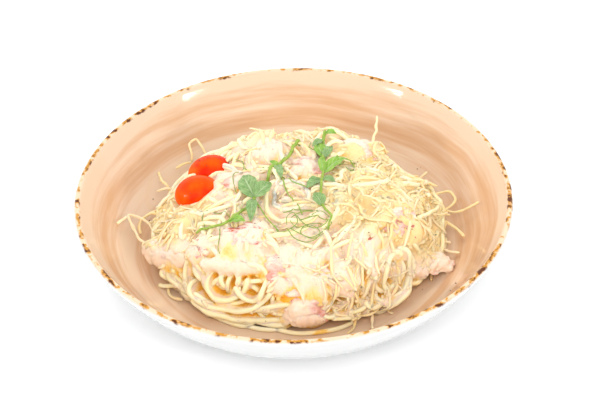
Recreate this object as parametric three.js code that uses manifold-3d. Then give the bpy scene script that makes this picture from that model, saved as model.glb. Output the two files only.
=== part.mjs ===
// Spaghetti carbonara served in a coupe bowl: a heap of pasta with grated cheese, sauced
// bacon, two cherry tomato halves and two sprigs of pea shoot.
// Millimetres, +Z up. The origin is the centre of the bowl's foot, on the table, and -Y is
// the side of the bowl that faces the diner.
import * as THREE from "three";
import { mergeVertices } from "three/addons/utils/BufferGeometryUtils.js";
import Module from "manifold-3d";

const wasm = await Module();
wasm.setup();

// ---- Driving sizes ------------------------------------------------------------------
const GAP = 0.35; // left between solids that touch
const FACET_TOLERANCE = 0.12; // facets flatter than this are merged after a cut

const RIM_RADIUS = 130;
const WALL_HEIGHT = 51.2; // outer edge of the wall; the round of the lip stands above it
const BOWL_SEGMENTS = 44;
const WALL_START_RADIUS = 58; // where the flat base turns up into the wall
const WALL_CURVE = 2.8; // exponent of the wall's rise, higher is more upright at the rim
const FLOOR_THICKNESS = 5;
const RIM_THICKNESS = 4;
const FOOT_OUTER_RADIUS = 62;
const FOOT_INNER_RADIUS = 56;
const FOOT_HEIGHT = 2.5;

// The heap's outline: its radius at even turns, from +X and turning towards +Y.
const HEAP_RADII = [92, 90, 85, 88, 84, 87, 90, 85, 88, 84, 82, 74, 75, 72, 80, 85];
const HEAP_CROWN = 40; // the crown above the bowl's floor, before the mounds
const HEAP_FLATNESS = 3.0;
const HEAP_SHOULDER = 0.62;
const HEAP_EDGE = 2.2; // thickness of the heap at its outline
const HEAP_SEAT = 0.45; // from the bowl's true curve to the underside of the heap
const HEAP_RINGS = 8;
const HEAP_SEGMENTS = 30;
// Broad mounds on the heap: where, how high and how wide.
const HEAP_MOUNDS = [
  { x: -22, y: 48, height: 9, spread: 20 },
  { x: 26, y: 52, height: 10, spread: 22 },
  { x: 45, y: 5, height: 4, spread: 26 },
  { x: -34, y: -38, height: 5, spread: 17 },
  { x: 44, y: -44, height: 5, spread: 15 },
];
const LUMP_HEIGHT = 1.9; // the strands' lumps, finer than the mounds

// Grated cheese lying in two drifts over the heap: outline radii at even turns.
const CHEESE_THICKNESS = 3;
const CHEESE_SUNK = 1.5; // how far the drifts sit down among the strands
const CHEESE_DRIFTS = {
  grated_cheese_right: { x: 50, y: 2, radii: [30, 28, 30, 31, 24, 25, 33, 28] },
  grated_cheese_left: { x: -62, y: -6, radii: [11, 12, 13, 13, 17, 18, 15, 13] },
};

// Bacon pieces under a coat of sauce: centre, half sizes, turn about Z and lean about X
// and Y (degrees), and how square the piece is (2 is an ellipsoid).
const BACON = {
  bacon_front: { at: [6, -69, 21], half: [14.5, 9.5, 9], turn: -8, lean: [0, 0], square: 2.2 },
  bacon_back_left: { at: [-13, 41, 52], half: [17, 9, 6], turn: 8, lean: [0, -6], square: 2.5 },
  bacon_top_centre: { at: [12, 23, 50], half: [13, 9, 6], turn: -14, lean: [0, 8], square: 2.6 },
  bacon_top_right: { at: [41, 40, 49], half: [15, 11, 7], turn: -12, lean: [0, 10], square: 2.5 },
  bacon_left: { at: [-73, -26, 27], half: [17, 8, 6.5], turn: -24, lean: [24, -12], square: 2.8 },
  bacon_centre_left: { at: [-28, -37, 47], half: [13, 11, 6], turn: 12, lean: [12, -6], square: 2.5 },
  sauce_strip_left: { at: [-36, -51, 40], half: [17, 4.5, 4], turn: -4, lean: [20, 0], square: 2.4 },
  bacon_centre: { at: [2, -57, 37], half: [20, 13, 6.5], turn: -12, lean: [40, 10], square: 2.6 },
  bacon_right: { at: [62, -20, 41], half: [14, 12, 6.5], turn: -20, lean: [8, 22], square: 2.4 },
  bacon_right_slab: { at: [78, -33, 22], half: [16, 8, 3], turn: 14, lean: [10, 8], square: 3 },
  bacon_low_right: { at: [33, -60, 31], half: [8, 6, 6], turn: 20, lean: [30, 0], square: 2.2 },
  bacon_upper_left: { at: [-33, 14, 49], half: [15, 8, 5], turn: 16, lean: [0, -6], square: 2.5 },
  bacon_left_red: { at: [-54, -36, 39], half: [8, 7, 5], turn: 30, lean: [20, -20], square: 2.2 },
  bacon_small_right: { at: [44, -38, 44], half: [7, 4.5, 3.5], turn: 24, lean: [20, 10], square: 2.2 },
};
const BACON_LUMP = 0.09; // depth of a piece's bumps as a share of its half size
const BACON_FINE_HALF = 15.5; // pieces longer than this get the finer facets

// Cherry tomatoes cut in half lengthwise, lying on the cut.
const TOMATO_HALF = [12.4, 9.8, 9.6];
const TOMATOES = {
  tomato_half_back: { at: [-52, 33, 40.5], turn: 14, lean: [0, -14] },
  tomato_half_front: { at: [-59, 13, 41], turn: 8, lean: [8, -16] },
};

// Pea shoots: stems as centre lines with a radius, leaflets as a tip-to-tip line with a
// width, all lying on the heap.
const LEAF_THICKNESS = 1.1;
const STEM_ROUND_RADIUS = 0.9; // thicker stems get the rounder section
const PEA_SHOOTS = {
  pea_shoot_left: {
    stems: [
      {
        radius: 1.1,
        path: [
          [4, 38, 56],
          [-3, 28, 54.5],
          [-10, 18, 54],
          [-17, 4, 53.5],
          [-23, -7, 52.5],
          [-28, -16, 52],
          [-37, -27, 50.5],
          [-51, -27, 46],
          [-57, -26, 43],
        ],
      },
      { radius: 0.7, path: [[-10, 18, 54], [-4, -3, 54], [0, -13, 53], [5, -21, 51.5]] },
      { radius: 0.7, path: [[-23, -7, 52.5], [-16, -24, 52.5], [-9, -33, 49.5]] },
      { radius: 0.6, path: [[-9, 15, 54], [-1, 4, 53.5], [8, 0, 52]] },
    ],
    leaves: [
      { from: [-23, -7, 52.5], to: [-30, 10, 56], width: 12 },
      { from: [-23, -8, 52.5], to: [-13, 1, 56], width: 9.5 },
      { from: [-24, -9, 52.5], to: [-25, -29, 52], width: 6.5 },
      { from: [-38, -27.5, 50.5], to: [-28, -30, 53], width: 7 },
      { from: [-10, 18, 54], to: [-7, 4, 55], width: 5.5 },
      { from: [-9, 19, 54], to: [-14, 23, 57], width: 4.5 },
    ],
  },
  pea_shoot_right: {
    stems: [
      {
        radius: 1,
        path: [
          [20, 45, 63],
          [19, 41, 59],
          [18, 30, 55.5],
          [19, 22, 54],
          [17, 3, 54],
          [16, -11, 53.5],
          [17, -19, 52.5],
          [22, -26, 51],
          [20, -32, 48.5],
        ],
      },
      { radius: 0.6, path: [[18.5, 20, 54], [27, 24, 55], [35, 24, 53], [38, 19, 50.5]] },
    ],
    leaves: [
      { from: [20, 44, 62], to: [27, 42, 63.5], width: 5.5 },
      { from: [19, 40, 58.5], to: [12, 35, 58], width: 5 },
      { from: [18.5, 27, 55], to: [14.5, 37, 58], width: 8 },
      { from: [18.7, 26, 54.7], to: [24.5, 34, 58], width: 6 },
      { from: [18, 12, 54], to: [32, 24, 56.5], width: 8 },
      { from: [18, 13, 54], to: [17, 24, 57.5], width: 5 },
      { from: [17.5, 8, 54], to: [8, -1, 55], width: 7.5 },
      { from: [17.2, 5, 54], to: [25, 1, 55.5], width: 5.5 },
      { from: [17, -19, 52.5], to: [12, -11, 56], width: 8 },
    ],
  },
};

// ---- Materials ----------------------------------------------------------------------
const finish = (color, roughness) =>
  new THREE.MeshStandardMaterial({ color, roughness, metalness: 0 });
const MATERIALS = {
  stoneware: finish(0xf0c8a0, 0.2),
  pasta: finish(0xf8e3a4, 0.5),
  cheese: finish(0xfbeebc, 0.55),
  bacon: finish(0xf3d6c0, 0.45),
  tomato: finish(0xe2420f, 0.18),
  pea: finish(0x74a05c, 0.5),
};

// ---- Solids and meshes --------------------------------------------------------------
function solidFrom(geometry) {
  const bare = new THREE.BufferGeometry();
  bare.setAttribute("position", geometry.getAttribute("position").clone());
  if (geometry.index) bare.setIndex(geometry.index.clone());
  const merged = mergeVertices(bare, 1e-4);
  return new wasm.Manifold(
    new wasm.Mesh({
      numProp: 3,
      vertProperties: new Float32Array(merged.attributes.position.array),
      triVerts: new Uint32Array(merged.index.array),
    }),
  );
}

function geometryFrom(solid) {
  const mesh = solid.getMesh();
  const geometry = new THREE.BufferGeometry();
  geometry.setAttribute(
    "position",
    new THREE.BufferAttribute(new Float32Array(mesh.vertProperties), 3),
  );
  geometry.setIndex(new THREE.BufferAttribute(new Uint32Array(mesh.triVerts), 1));
  geometry.computeVertexNormals();
  return geometry;
}

// The largest body of a solid that a cut may have left in several.
function largestBody(solid) {
  return solid
    .decompose()
    .reduce((best, body) => (body.volume() > best.volume() ? body : best));
}

const group = new THREE.Group();
function addNode(name, solid, material) {
  const mesh = new THREE.Mesh(geometryFrom(solid), material);
  mesh.name = name;
  group.add(mesh);
  return mesh;
}

// ---- Bowl ---------------------------------------------------------------------------
function wallOutside(r) {
  const rise = (r - WALL_START_RADIUS) / (RIM_RADIUS - WALL_START_RADIUS);
  return FOOT_HEIGHT + (WALL_HEIGHT - FOOT_HEIGHT) * Math.max(rise, 0) ** WALL_CURVE;
}

// The inside line of the wall, from the rim down to the floor: each point lies one wall
// thickness in from the outside.
function wallInside(steps) {
  const points = [];
  for (let i = steps; i >= 0; i--) {
    const share = i / steps;
    const r = WALL_START_RADIUS + share * (RIM_RADIUS - WALL_START_RADIUS);
    const step = 0.01;
    const slope = (wallOutside(r) - wallOutside(r - step)) / step;
    const thickness = THREE.MathUtils.lerp(FLOOR_THICKNESS, RIM_THICKNESS, share);
    const lean = Math.hypot(1, slope);
    points.push(
      new THREE.Vector2(
        r - (thickness * slope) / lean,
        wallOutside(r) + thickness / lean,
      ),
    );
  }
  return points;
}
const INSIDE_LINE = wallInside(60);

// Height of the bowl's inner surface at radius r.
function bowlInside(r) {
  const floor = INSIDE_LINE[INSIDE_LINE.length - 1];
  if (r <= floor.x) return floor.y;
  for (let i = 0; i < INSIDE_LINE.length - 1; i++) {
    const high = INSIDE_LINE[i];
    const low = INSIDE_LINE[i + 1];
    if (r >= low.x)
      return THREE.MathUtils.mapLinear(r, low.x, high.x, low.y, high.y);
  }
  return floor.y;
}

function bowlProfile() {
  const inside = wallInside(9);
  const outside = [];
  const wallSteps = 6;
  for (let i = 1; i <= wallSteps; i++) {
    const r = THREE.MathUtils.lerp(FOOT_OUTER_RADIUS, RIM_RADIUS, i / wallSteps);
    outside.push(new THREE.Vector2(r, wallOutside(r)));
  }
  // The lip is half a round between the two sides of the wall.
  const outer = outside[outside.length - 1];
  const inner = inside[0];
  const centre = outer.clone().add(inner).multiplyScalar(0.5);
  const arm = outer.clone().sub(centre);
  const lip = [];
  const lipSteps = 4;
  for (let i = 1; i < lipSteps; i++)
    lip.push(
      arm.clone().rotateAround(new THREE.Vector2(), (Math.PI * i) / lipSteps).add(centre),
    );
  return [
    new THREE.Vector2(0, FOOT_HEIGHT),
    new THREE.Vector2(FOOT_INNER_RADIUS, FOOT_HEIGHT),
    new THREE.Vector2(FOOT_INNER_RADIUS + 0.5, 0),
    new THREE.Vector2(FOOT_OUTER_RADIUS - 0.5, 0),
    new THREE.Vector2(FOOT_OUTER_RADIUS, wallOutside(FOOT_OUTER_RADIUS)),
    ...outside,
    ...lip,
    ...inside,
    new THREE.Vector2(0, inside[inside.length - 1].y),
  ];
}

function bowlSolid() {
  const geometry = new THREE.LatheGeometry(bowlProfile(), BOWL_SEGMENTS);
  geometry.rotateX(Math.PI / 2);
  return solidFrom(geometry);
}

// ---- Pasta heap ---------------------------------------------------------------------
// Radius at an angle of an outline that runs smoothly through evenly turned radii.
function outlineRadius(radii, angle) {
  const n = radii.length;
  const turn = (((angle / (2 * Math.PI)) % 1) + 1) % 1;
  const at = turn * n;
  const i = Math.floor(at);
  const radius = (k) => radii[(i + k + n) % n];
  const [a, b, c, d] = [radius(-1), radius(0), radius(1), radius(2)];
  const t = at - i;
  return (
    b +
    0.5 * t * (c - a + t * (2 * a - 5 * b + 4 * c - d + t * (3 * (b - c) + d - a)))
  );
}

function lumps(x, y) {
  return (
    LUMP_HEIGHT *
    (Math.sin(0.21 * x + 0.13 * y + 1.1) * Math.cos(0.17 * y - 0.09 * x) +
      0.6 * Math.sin(0.37 * x - 0.29 * y + 0.4))
  );
}

// Height of the top of the heap over a point inside its outline.
function heapTop(x, y) {
  const r = Math.hypot(x, y);
  const edge = outlineRadius(HEAP_RADII, Math.atan2(y, x));
  const share = Math.min(r / edge, 1);
  const dome = (1 - share ** HEAP_FLATNESS) ** HEAP_SHOULDER;
  const floor = bowlInside(r);
  const crown = bowlInside(0) + HEAP_CROWN;
  let z = floor + HEAP_EDGE + (crown - floor) * dome;
  for (const mound of HEAP_MOUNDS) {
    const away = Math.hypot(x - mound.x, y - mound.y) / mound.spread;
    z += mound.height * Math.exp(-away * away) * Math.min(1, 3 * dome);
  }
  return z + lumps(x, y) * Math.min(1, 2 * dome);
}

// A closed solid between two height functions over a round patch: outline(angle) is the
// patch's radius about the centre.
function patchSolid({ centre, outline, rings, segments, top, bottom }) {
  const positions = [];
  const index = [];
  const layers = [top, bottom];
  for (const height of layers) {
    positions.push(centre.x, centre.y, height(centre.x, centre.y));
    for (let i = 1; i <= rings; i++)
      for (let j = 0; j < segments; j++) {
        const angle = (2 * Math.PI * j) / segments;
        const r = (outline(angle) * i) / rings;
        const x = centre.x + r * Math.cos(angle);
        const y = centre.y + r * Math.sin(angle);
        positions.push(x, y, height(x, y));
      }
  }
  const count = 1 + rings * segments;
  const at = (layer, i, j) =>
    layer * count + (i === 0 ? 0 : 1 + (i - 1) * segments + (j % segments));
  const face = (layer, a, b, c) => index.push(...(layer ? [a, c, b] : [a, b, c]));
  for (let layer = 0; layer < 2; layer++)
    for (let j = 0; j < segments; j++) {
      face(layer, at(layer, 0, 0), at(layer, 1, j), at(layer, 1, j + 1));
      for (let i = 1; i < rings; i++) {
        face(layer, at(layer, i, j), at(layer, i + 1, j), at(layer, i + 1, j + 1));
        face(layer, at(layer, i, j), at(layer, i + 1, j + 1), at(layer, i, j + 1));
      }
    }
  for (let j = 0; j < segments; j++) {
    const [a, b] = [at(0, rings, j), at(0, rings, j + 1)];
    const [c, d] = [at(1, rings, j), at(1, rings, j + 1)];
    index.push(a, c, b, b, c, d);
  }
  const geometry = new THREE.BufferGeometry();
  geometry.setAttribute("position", new THREE.Float32BufferAttribute(positions, 3));
  geometry.setIndex(index);
  return solidFrom(geometry);
}

function heapSolid() {
  return patchSolid({
    centre: new THREE.Vector2(0, 0),
    outline: (angle) => outlineRadius(HEAP_RADII, angle),
    rings: HEAP_RINGS,
    segments: HEAP_SEGMENTS,
    top: heapTop,
    bottom: (x, y) => bowlInside(Math.hypot(x, y)) + HEAP_SEAT,
  });
}

// ---- Grated cheese ------------------------------------------------------------------
// A drift of cheese over the heap, grown by a margin on every side.
function cheeseSolid({ x, y, radii }, margin = 0) {
  return patchSolid({
    centre: new THREE.Vector2(x, y),
    outline: (angle) => outlineRadius(radii, angle) + margin,
    rings: 3,
    segments: 16,
    top: (px, py) => {
      const away = Math.hypot(px - x, py - y);
      const edge = outlineRadius(radii, Math.atan2(py - y, px - x)) + margin;
      const share = Math.min(away / edge, 1);
      return heapTop(px, py) + margin + CHEESE_THICKNESS * (1 - share ** 4);
    },
    bottom: (px, py) => heapTop(px, py) - CHEESE_SUNK - margin,
  });
}

// ---- Bacon --------------------------------------------------------------------------
const radians = THREE.MathUtils.degToRad;

function placed(geometry, { at, turn, lean }) {
  geometry.rotateX(radians(lean[0]));
  geometry.rotateY(radians(lean[1]));
  geometry.rotateZ(radians(turn));
  geometry.translate(...at);
  return geometry;
}

// One piece, grown by a margin: a squared ellipsoid with a few soft bumps of its own.
function baconSolid(piece, seed, margin = 0) {
  const geometry = new THREE.IcosahedronGeometry(1, piece.half[0] > BACON_FINE_HALF ? 2 : 1);
  const points = geometry.getAttribute("position");
  const p = new THREE.Vector3();
  for (let i = 0; i < points.count; i++) {
    p.fromBufferAttribute(points, i);
    const power = piece.square;
    const norm = Math.abs(p.x) ** power + Math.abs(p.y) ** power + Math.abs(p.z) ** power;
    const bump =
      Math.sin(3.1 * p.x + 1.7 * seed) * Math.cos(2.7 * p.y - 0.9 * seed) +
      0.7 * Math.sin(4.3 * p.z + 3.7 * p.x + seed);
    p.multiplyScalar(norm ** (-1 / power) * (1 + BACON_LUMP * bump));
    points.setXYZ(
      i,
      p.x * (piece.half[0] + margin),
      p.y * (piece.half[1] + margin),
      p.z * (piece.half[2] + margin),
    );
  }
  return solidFrom(placed(geometry, piece));
}

// ---- Tomato -------------------------------------------------------------------------
function tomatoSolid(place, margin = 0) {
  const [a, b, c] = TOMATO_HALF.map((half) => half + margin);
  const whole = new THREE.SphereGeometry(1, 16, 10);
  whole.rotateX(Math.PI / 2);
  whole.scale(a, b, c);
  const above = new THREE.BoxGeometry(4 * a, 4 * b, 4 * c);
  above.translate(0, 0, 2 * c - margin);
  return solidFrom(placed(whole, place)).intersect(solidFrom(placed(above, place)));
}

// ---- Pea shoots ---------------------------------------------------------------------
function stemSolid({ radius, path }, margin) {
  const points = path.map((point) => new THREE.Vector3(...point));
  const reach = (from, to) => to.clone().sub(from).setLength(margin).add(to);
  if (margin > 0) {
    points.unshift(reach(points[1], points[0]));
    points.push(reach(points[points.length - 2], points[points.length - 1]));
  }
  const curve = new THREE.CatmullRomCurve3(points);
  const outline = new THREE.Shape();
  outline.absarc(0, 0, radius + margin, 0, 2 * Math.PI);
  const geometry = new THREE.ExtrudeGeometry(outline, {
    steps: path.length,
    curveSegments: radius > STEM_ROUND_RADIUS ? 3 : 2,
    extrudePath: curve,
    bevelEnabled: false,
  });
  return solidFrom(geometry);
}

// A leaflet: a thin, pointed oval from its stalk to its tip.
function leafSolid({ from, to, width }, margin) {
  const start = new THREE.Vector3(...from);
  const end = new THREE.Vector3(...to);
  const along = end.clone().sub(start);
  const length = along.length();
  const geometry = new THREE.OctahedronGeometry(1, 1);
  const points = geometry.getAttribute("position");
  for (let i = 0; i < points.count; i++) {
    const x = points.getX(i);
    const taper = 1 - 0.3 * x;
    points.setXYZ(
      i,
      x * (length / 2 + margin),
      points.getY(i) * taper * (width / 2 + margin),
      points.getZ(i) * (LEAF_THICKNESS / 2 + margin),
    );
  }
  const basis = new THREE.Matrix4();
  const forward = along.normalize();
  const side = new THREE.Vector3(0, 0, 1).cross(forward).normalize();
  basis.makeBasis(forward, side, forward.clone().cross(side));
  geometry.applyMatrix4(basis);
  const middle = start.add(end).multiplyScalar(0.5);
  geometry.translate(middle.x, middle.y, middle.z);
  return solidFrom(geometry);
}

function peaShootSolid({ stems, leaves }, margin = 0) {
  const parts = [
    ...stems.map((stem) => stemSolid(stem, margin)),
    ...leaves.map((leaf) => leafSolid(leaf, margin)),
  ];
  return parts.reduce((whole, part) => whole.add(part));
}

// ---- Assembly -----------------------------------------------------------------------
// Toppings in the order they were laid down last to first: each later solid makes room
// for the ones already there.
const bowl = bowlSolid();
const raised = bowl.translate([0, 0, GAP]);
const laid = [];
function lay(name, solid, grown, material) {
  const clear = laid.reduce(
    (left, other) => left.subtract(other.grown),
    solid.subtract(raised),
  );
  const whole = largestBody(clear.simplify(FACET_TOLERANCE));
  laid.push({ name, solid: whole, grown, material });
}

for (const [name, shoot] of Object.entries(PEA_SHOOTS))
  lay(name, peaShootSolid(shoot), peaShootSolid(shoot, GAP), MATERIALS.pea);
for (const [name, place] of Object.entries(TOMATOES))
  lay(name, tomatoSolid(place), tomatoSolid(place, GAP), MATERIALS.tomato);
Object.entries(BACON).forEach(([name, piece], seed) =>
  lay(name, baconSolid(piece, seed), baconSolid(piece, seed, GAP), MATERIALS.bacon),
);
for (const [name, drift] of Object.entries(CHEESE_DRIFTS))
  lay(name, cheeseSolid(drift), cheeseSolid(drift, 2 * GAP), MATERIALS.cheese);
const heap = heapSolid();
lay("pasta_heap", heap, heap, MATERIALS.pasta);

addNode("bowl", bowl, MATERIALS.stoneware);
for (const { name, solid, material } of laid) addNode(name, solid, material);

export default group;
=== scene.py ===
import logging
import math
from dataclasses import dataclass, field
from enum import Enum

import bpy
import numpy as np
from mathutils import Matrix, Vector


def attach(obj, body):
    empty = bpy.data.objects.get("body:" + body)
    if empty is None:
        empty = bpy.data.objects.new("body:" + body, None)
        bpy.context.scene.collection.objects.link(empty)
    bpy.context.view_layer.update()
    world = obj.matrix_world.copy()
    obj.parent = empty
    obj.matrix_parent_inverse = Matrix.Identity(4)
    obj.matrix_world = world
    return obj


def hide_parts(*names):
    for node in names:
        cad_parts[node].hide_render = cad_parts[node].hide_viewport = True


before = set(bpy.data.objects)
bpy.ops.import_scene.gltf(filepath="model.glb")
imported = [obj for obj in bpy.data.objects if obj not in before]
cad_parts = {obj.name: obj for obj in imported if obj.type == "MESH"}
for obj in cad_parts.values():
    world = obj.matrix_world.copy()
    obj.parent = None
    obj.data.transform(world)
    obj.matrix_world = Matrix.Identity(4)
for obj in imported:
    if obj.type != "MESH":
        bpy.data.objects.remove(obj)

log = logging.getLogger("carbonara")
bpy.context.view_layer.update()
MM = 0.001  # metres in a millimetre
TURN = 2 * math.pi


# ---- Small tools ----------------------------------------------------------------------


def linear(hex_colour: str) -> tuple[float, float, float, float]:
    """Turns an sRGB hex colour such as "f0c8a0" into linear RGBA.

    Args:
        hex_colour: six hex digits.

    Returns:
        The linear colour with an alpha of one.
    """
    steps = [int(hex_colour[i : i + 2], 16) / 255 for i in (0, 2, 4)]
    low, slope, offset, power = 0.04045, 12.92, 0.055, 2.4
    red, green, blue = (s / slope if s <= low else ((s + offset) / (1 + offset)) ** power for s in steps)
    return red, green, blue, 1.0


def add_node(
    tree: bpy.types.NodeTree,
    kind: str,
    settings: dict[str, object] | None = None,
    inputs: dict[str | int, object] | None = None,
) -> bpy.types.Node:
    """Adds a shader node with its settings, and its inputs' values and links.

    Args:
        tree: the material's node tree.
        kind: the node type without its "ShaderNode" prefix.
        settings: the node's own properties by name; "stops" are a ramp's positions from 0 to 1
            with their sRGB hex colours.
        inputs: for each named or numbered input a value, or what to link: an output socket, or
            a node for its first output.

    Returns:
        The new node.
    """
    node = tree.nodes.new("ShaderNode" + kind)
    for name, value in (settings or {}).items():
        if name != "stops":
            setattr(node, name, value)
            continue
        elements = node.color_ramp.elements
        while len(elements) < len(value):
            elements.new(0.5)
        for element, (position, colour) in zip(elements, value):
            element.position = position
            element.color = linear(colour)
    for name, value in (inputs or {}).items():
        if isinstance(value, bpy.types.Node):
            value = value.outputs[0]
        if isinstance(value, bpy.types.NodeSocket):
            tree.links.new(value, node.inputs[name])
        else:
            node.inputs[name].default_value = value
    return node


def waves(points: np.ndarray, size: float, seed: int, count: int = 14) -> np.ndarray:
    """A smooth random field between about -1 and 1, as a sum of turned sine waves.

    Args:
        points: (n, 2) or (n, 3) positions in mm.
        size: the width of a typical bump in mm.
        seed: picks the field.
        count: how many waves are summed.

    Returns:
        One value for each point.
    """
    rng = np.random.default_rng(seed)
    total = np.zeros(len(points))
    for _ in range(count):
        direction = rng.normal(size=points.shape[1])
        direction *= math.pi / size / np.linalg.norm(direction) * rng.uniform(0.6, 1.5)
        total += np.cos(points @ direction + rng.uniform(0, TURN))
    return total / math.sqrt(count)


def smooth_step(value: np.ndarray, low: float, high: float) -> np.ndarray:
    """Runs from 0 at low to 1 at high along an S curve."""
    t = np.clip((value - low) / (high - low), 0, 1)
    return t * t * (3 - 2 * t)


def make_piece(
    name: str,
    points: np.ndarray,
    faces: list[list[int]],
    materials: list[bpy.types.Material],
    attributes: dict[str, np.ndarray] | None = None,
    face_material: np.ndarray | None = None,
) -> bpy.types.Object:
    """Makes a smooth-shaded piece that rides on the part's one body.

    Args:
        name: the piece's name.
        points: (n, 3) vertices in mm.
        faces: vertex numbers of each face.
        materials: the materials of the piece's slots.
        attributes: named numbers, one for each vertex, that the materials read.
        face_material: the material slot of each face, all 0 by default.

    Returns:
        The new object.
    """
    mesh = bpy.data.meshes.new(name)
    mesh.from_pydata((points * MM).tolist(), [], faces)
    for key, values in (attributes or {}).items():
        layer = mesh.attributes.new(key, "FLOAT", "POINT")
        layer.data.foreach_set("value", np.asarray(values, dtype=np.float32))
    for material in materials:
        mesh.materials.append(material)
    mesh.polygons.foreach_set("use_smooth", [True] * len(mesh.polygons))
    if face_material is not None:
        mesh.polygons.foreach_set("material_index", face_material.astype(np.int32))
    mesh.update()
    piece = bpy.data.objects.new(name, mesh)
    bpy.context.scene.collection.objects.link(piece)
    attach(piece, "root")
    log.info("%s: %d faces", name, len(mesh.polygons))
    return piece


def node_mesh(name: str) -> tuple[np.ndarray, np.ndarray]:
    """The vertices in mm and the triangles of a CAD node."""
    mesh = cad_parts[name].data
    mesh.calc_loop_triangles()
    points = np.array([v.co for v in mesh.vertices]) / MM
    triangles = np.array([t.vertices for t in mesh.loop_triangles])
    return points, triangles


# ---- Relief: how high the serving stands, everywhere ------------------------------------


@dataclass
class Relief:
    """The height of all that is laid in the bowl so far, on a square grid of cells.

    Strands and shreds are laid on it one by one: each rests on what is below it, and then
    raises the relief for the next, so they cross over each other as they do on a plate.
    """

    half_width: float = 131.0
    cell: float = 0.5
    heights: np.ndarray = field(init=False)

    def __post_init__(self) -> None:
        """Starts the relief far below the bowl."""
        side = int(2 * self.half_width / self.cell) + 1
        self.heights = np.full((side, side), -50.0)

    def copy(self) -> "Relief":
        """A second relief with the same heights."""
        other = Relief(self.half_width, self.cell)
        other.heights = self.heights.copy()
        return other

    def grid(self) -> tuple[np.ndarray, np.ndarray]:
        """The x and y of every cell in mm."""
        line = np.arange(self.heights.shape[0]) * self.cell - self.half_width
        return np.meshgrid(line, line)

    def cell_of(self, values: np.ndarray) -> np.ndarray:
        """The row or column of each coordinate."""
        last = self.heights.shape[0] - 1
        number = np.rint((values + self.half_width) / self.cell).astype(int)
        return np.clip(number, 0, last)

    def at(self, x: np.ndarray, y: np.ndarray) -> np.ndarray:
        """The height at each point, smoothly between cells."""
        last = self.heights.shape[0] - 2
        u = np.clip((x + self.half_width) / self.cell, 0, last)
        v = np.clip((y + self.half_width) / self.cell, 0, last)
        i, j = u.astype(int), v.astype(int)
        s, t = u - i, v - j
        h = self.heights
        near = h[j, i] * (1 - s) + h[j, i + 1] * s
        far = h[j + 1, i] * (1 - s) + h[j + 1, i + 1] * s
        return near * (1 - t) + far * t

    def under_balls(
        self, x: np.ndarray, y: np.ndarray, radius: float
    ) -> tuple[np.ndarray, np.ndarray, np.ndarray]:
        """Finds the cells under a ball at each point.

        Args:
            x: the balls' x in mm.
            y: the balls' y in mm.
            radius: their radius in mm.

        Returns:
            The cells' rows and columns for each ball, and how far above or below its middle
            the ball's skin is over each of them.
        """
        reach = int(radius / self.cell)
        dy, dx = np.mgrid[-reach : reach + 1, -reach : reach + 1]
        away = (dx**2 + dy**2) * self.cell**2
        inside = away < radius**2
        last = self.heights.shape[0] - 1
        columns = np.clip(self.cell_of(x)[:, None] + dx[inside], 0, last)
        rows = np.clip(self.cell_of(y)[:, None] + dy[inside], 0, last)
        return rows, columns, np.sqrt(radius**2 - away[inside])

    def rest(self, x: np.ndarray, y: np.ndarray, radius: float) -> np.ndarray:
        """How high the middle of a ball is where it rests at each point."""
        rows, columns, skin = self.under_balls(x, y, radius)
        return (self.heights[rows, columns] + skin).max(axis=1)

    def stamp(self, path: np.ndarray, radius: float) -> None:
        """Raises the relief by balls along a path."""
        rows, columns, skin = self.under_balls(path[:, 0], path[:, 1], radius)
        top = path[:, 2][:, None] + skin
        np.maximum.at(self.heights, (rows.ravel(), columns.ravel()), top.ravel())

    def add_triangles(self, points: np.ndarray, triangles: np.ndarray) -> None:
        """Raises the relief to a mesh's upward faces."""
        tiny, flat_on_edge = 1e-6, 1e-9
        for corners in points[triangles]:
            normal = np.cross(corners[1] - corners[0], corners[2] - corners[0])
            if normal[2] <= flat_on_edge:
                continue
            i0, j0 = (self.cell_of(corners[:, k].min()) for k in (0, 1))
            i1, j1 = (self.cell_of(corners[:, k].max()) + 1 for k in (0, 1))
            line_x = np.arange(i0, i1) * self.cell - self.half_width
            line_y = np.arange(j0, j1) * self.cell - self.half_width
            x, y = np.meshgrid(line_x, line_y)
            (ax, ay, az), (bx, by, bz), (cx, cy, cz) = corners
            a = ((bx - x) * (cy - y) - (by - y) * (cx - x)) / normal[2]
            b = ((cx - x) * (ay - y) - (cy - y) * (ax - x)) / normal[2]
            c = 1 - a - b
            height = a * az + b * bz + c * cz
            patch = self.heights[j0:j1, i0:i1]
            higher = (np.minimum(np.minimum(a, b), c) >= -tiny) & (height > patch)
            patch[higher] = height[higher]

    def blurred(self, width: float) -> "Relief":
        """A copy smoothed by a bell of the given width in mm."""
        side = self.heights.shape[0]
        pad = int(4 * width / self.cell)
        padded = np.pad(self.heights, pad, mode="edge")
        fy = np.fft.fftfreq(padded.shape[0], self.cell)[:, None]
        fx = np.fft.rfftfreq(padded.shape[1], self.cell)[None, :]
        bell = np.exp(-2 * (math.pi * width) ** 2 * (fx**2 + fy**2))
        smooth = np.fft.irfft2(np.fft.rfft2(padded) * bell, padded.shape)
        other = Relief(self.half_width, self.cell)
        other.heights = smooth[pad : pad + side, pad : pad + side]
        return other


# ---- Round strands ------------------------------------------------------------------------


@dataclass
class Strand:
    """One strand, shred, stem or tendril: a centre line in mm with its radii.

    "shade" is its own tone, 0 to 1, and "pile" names the heap of shreds it belongs to.
    """

    path: np.ndarray
    radius: np.ndarray
    shade: float = 0.5
    pile: str = ""


def ring_quads(rows: int, columns: int) -> np.ndarray:
    """The faces between rings that follow each other, as (n, 4) point numbers."""
    i = np.arange(rows - 1)[:, None] * columns
    j = np.arange(columns)[None, :]
    k = (j + 1) % columns
    quads = np.stack([i + j, i + columns + j, i + columns + k, i + k], axis=-1)
    return quads.reshape(-1, 4)


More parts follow.
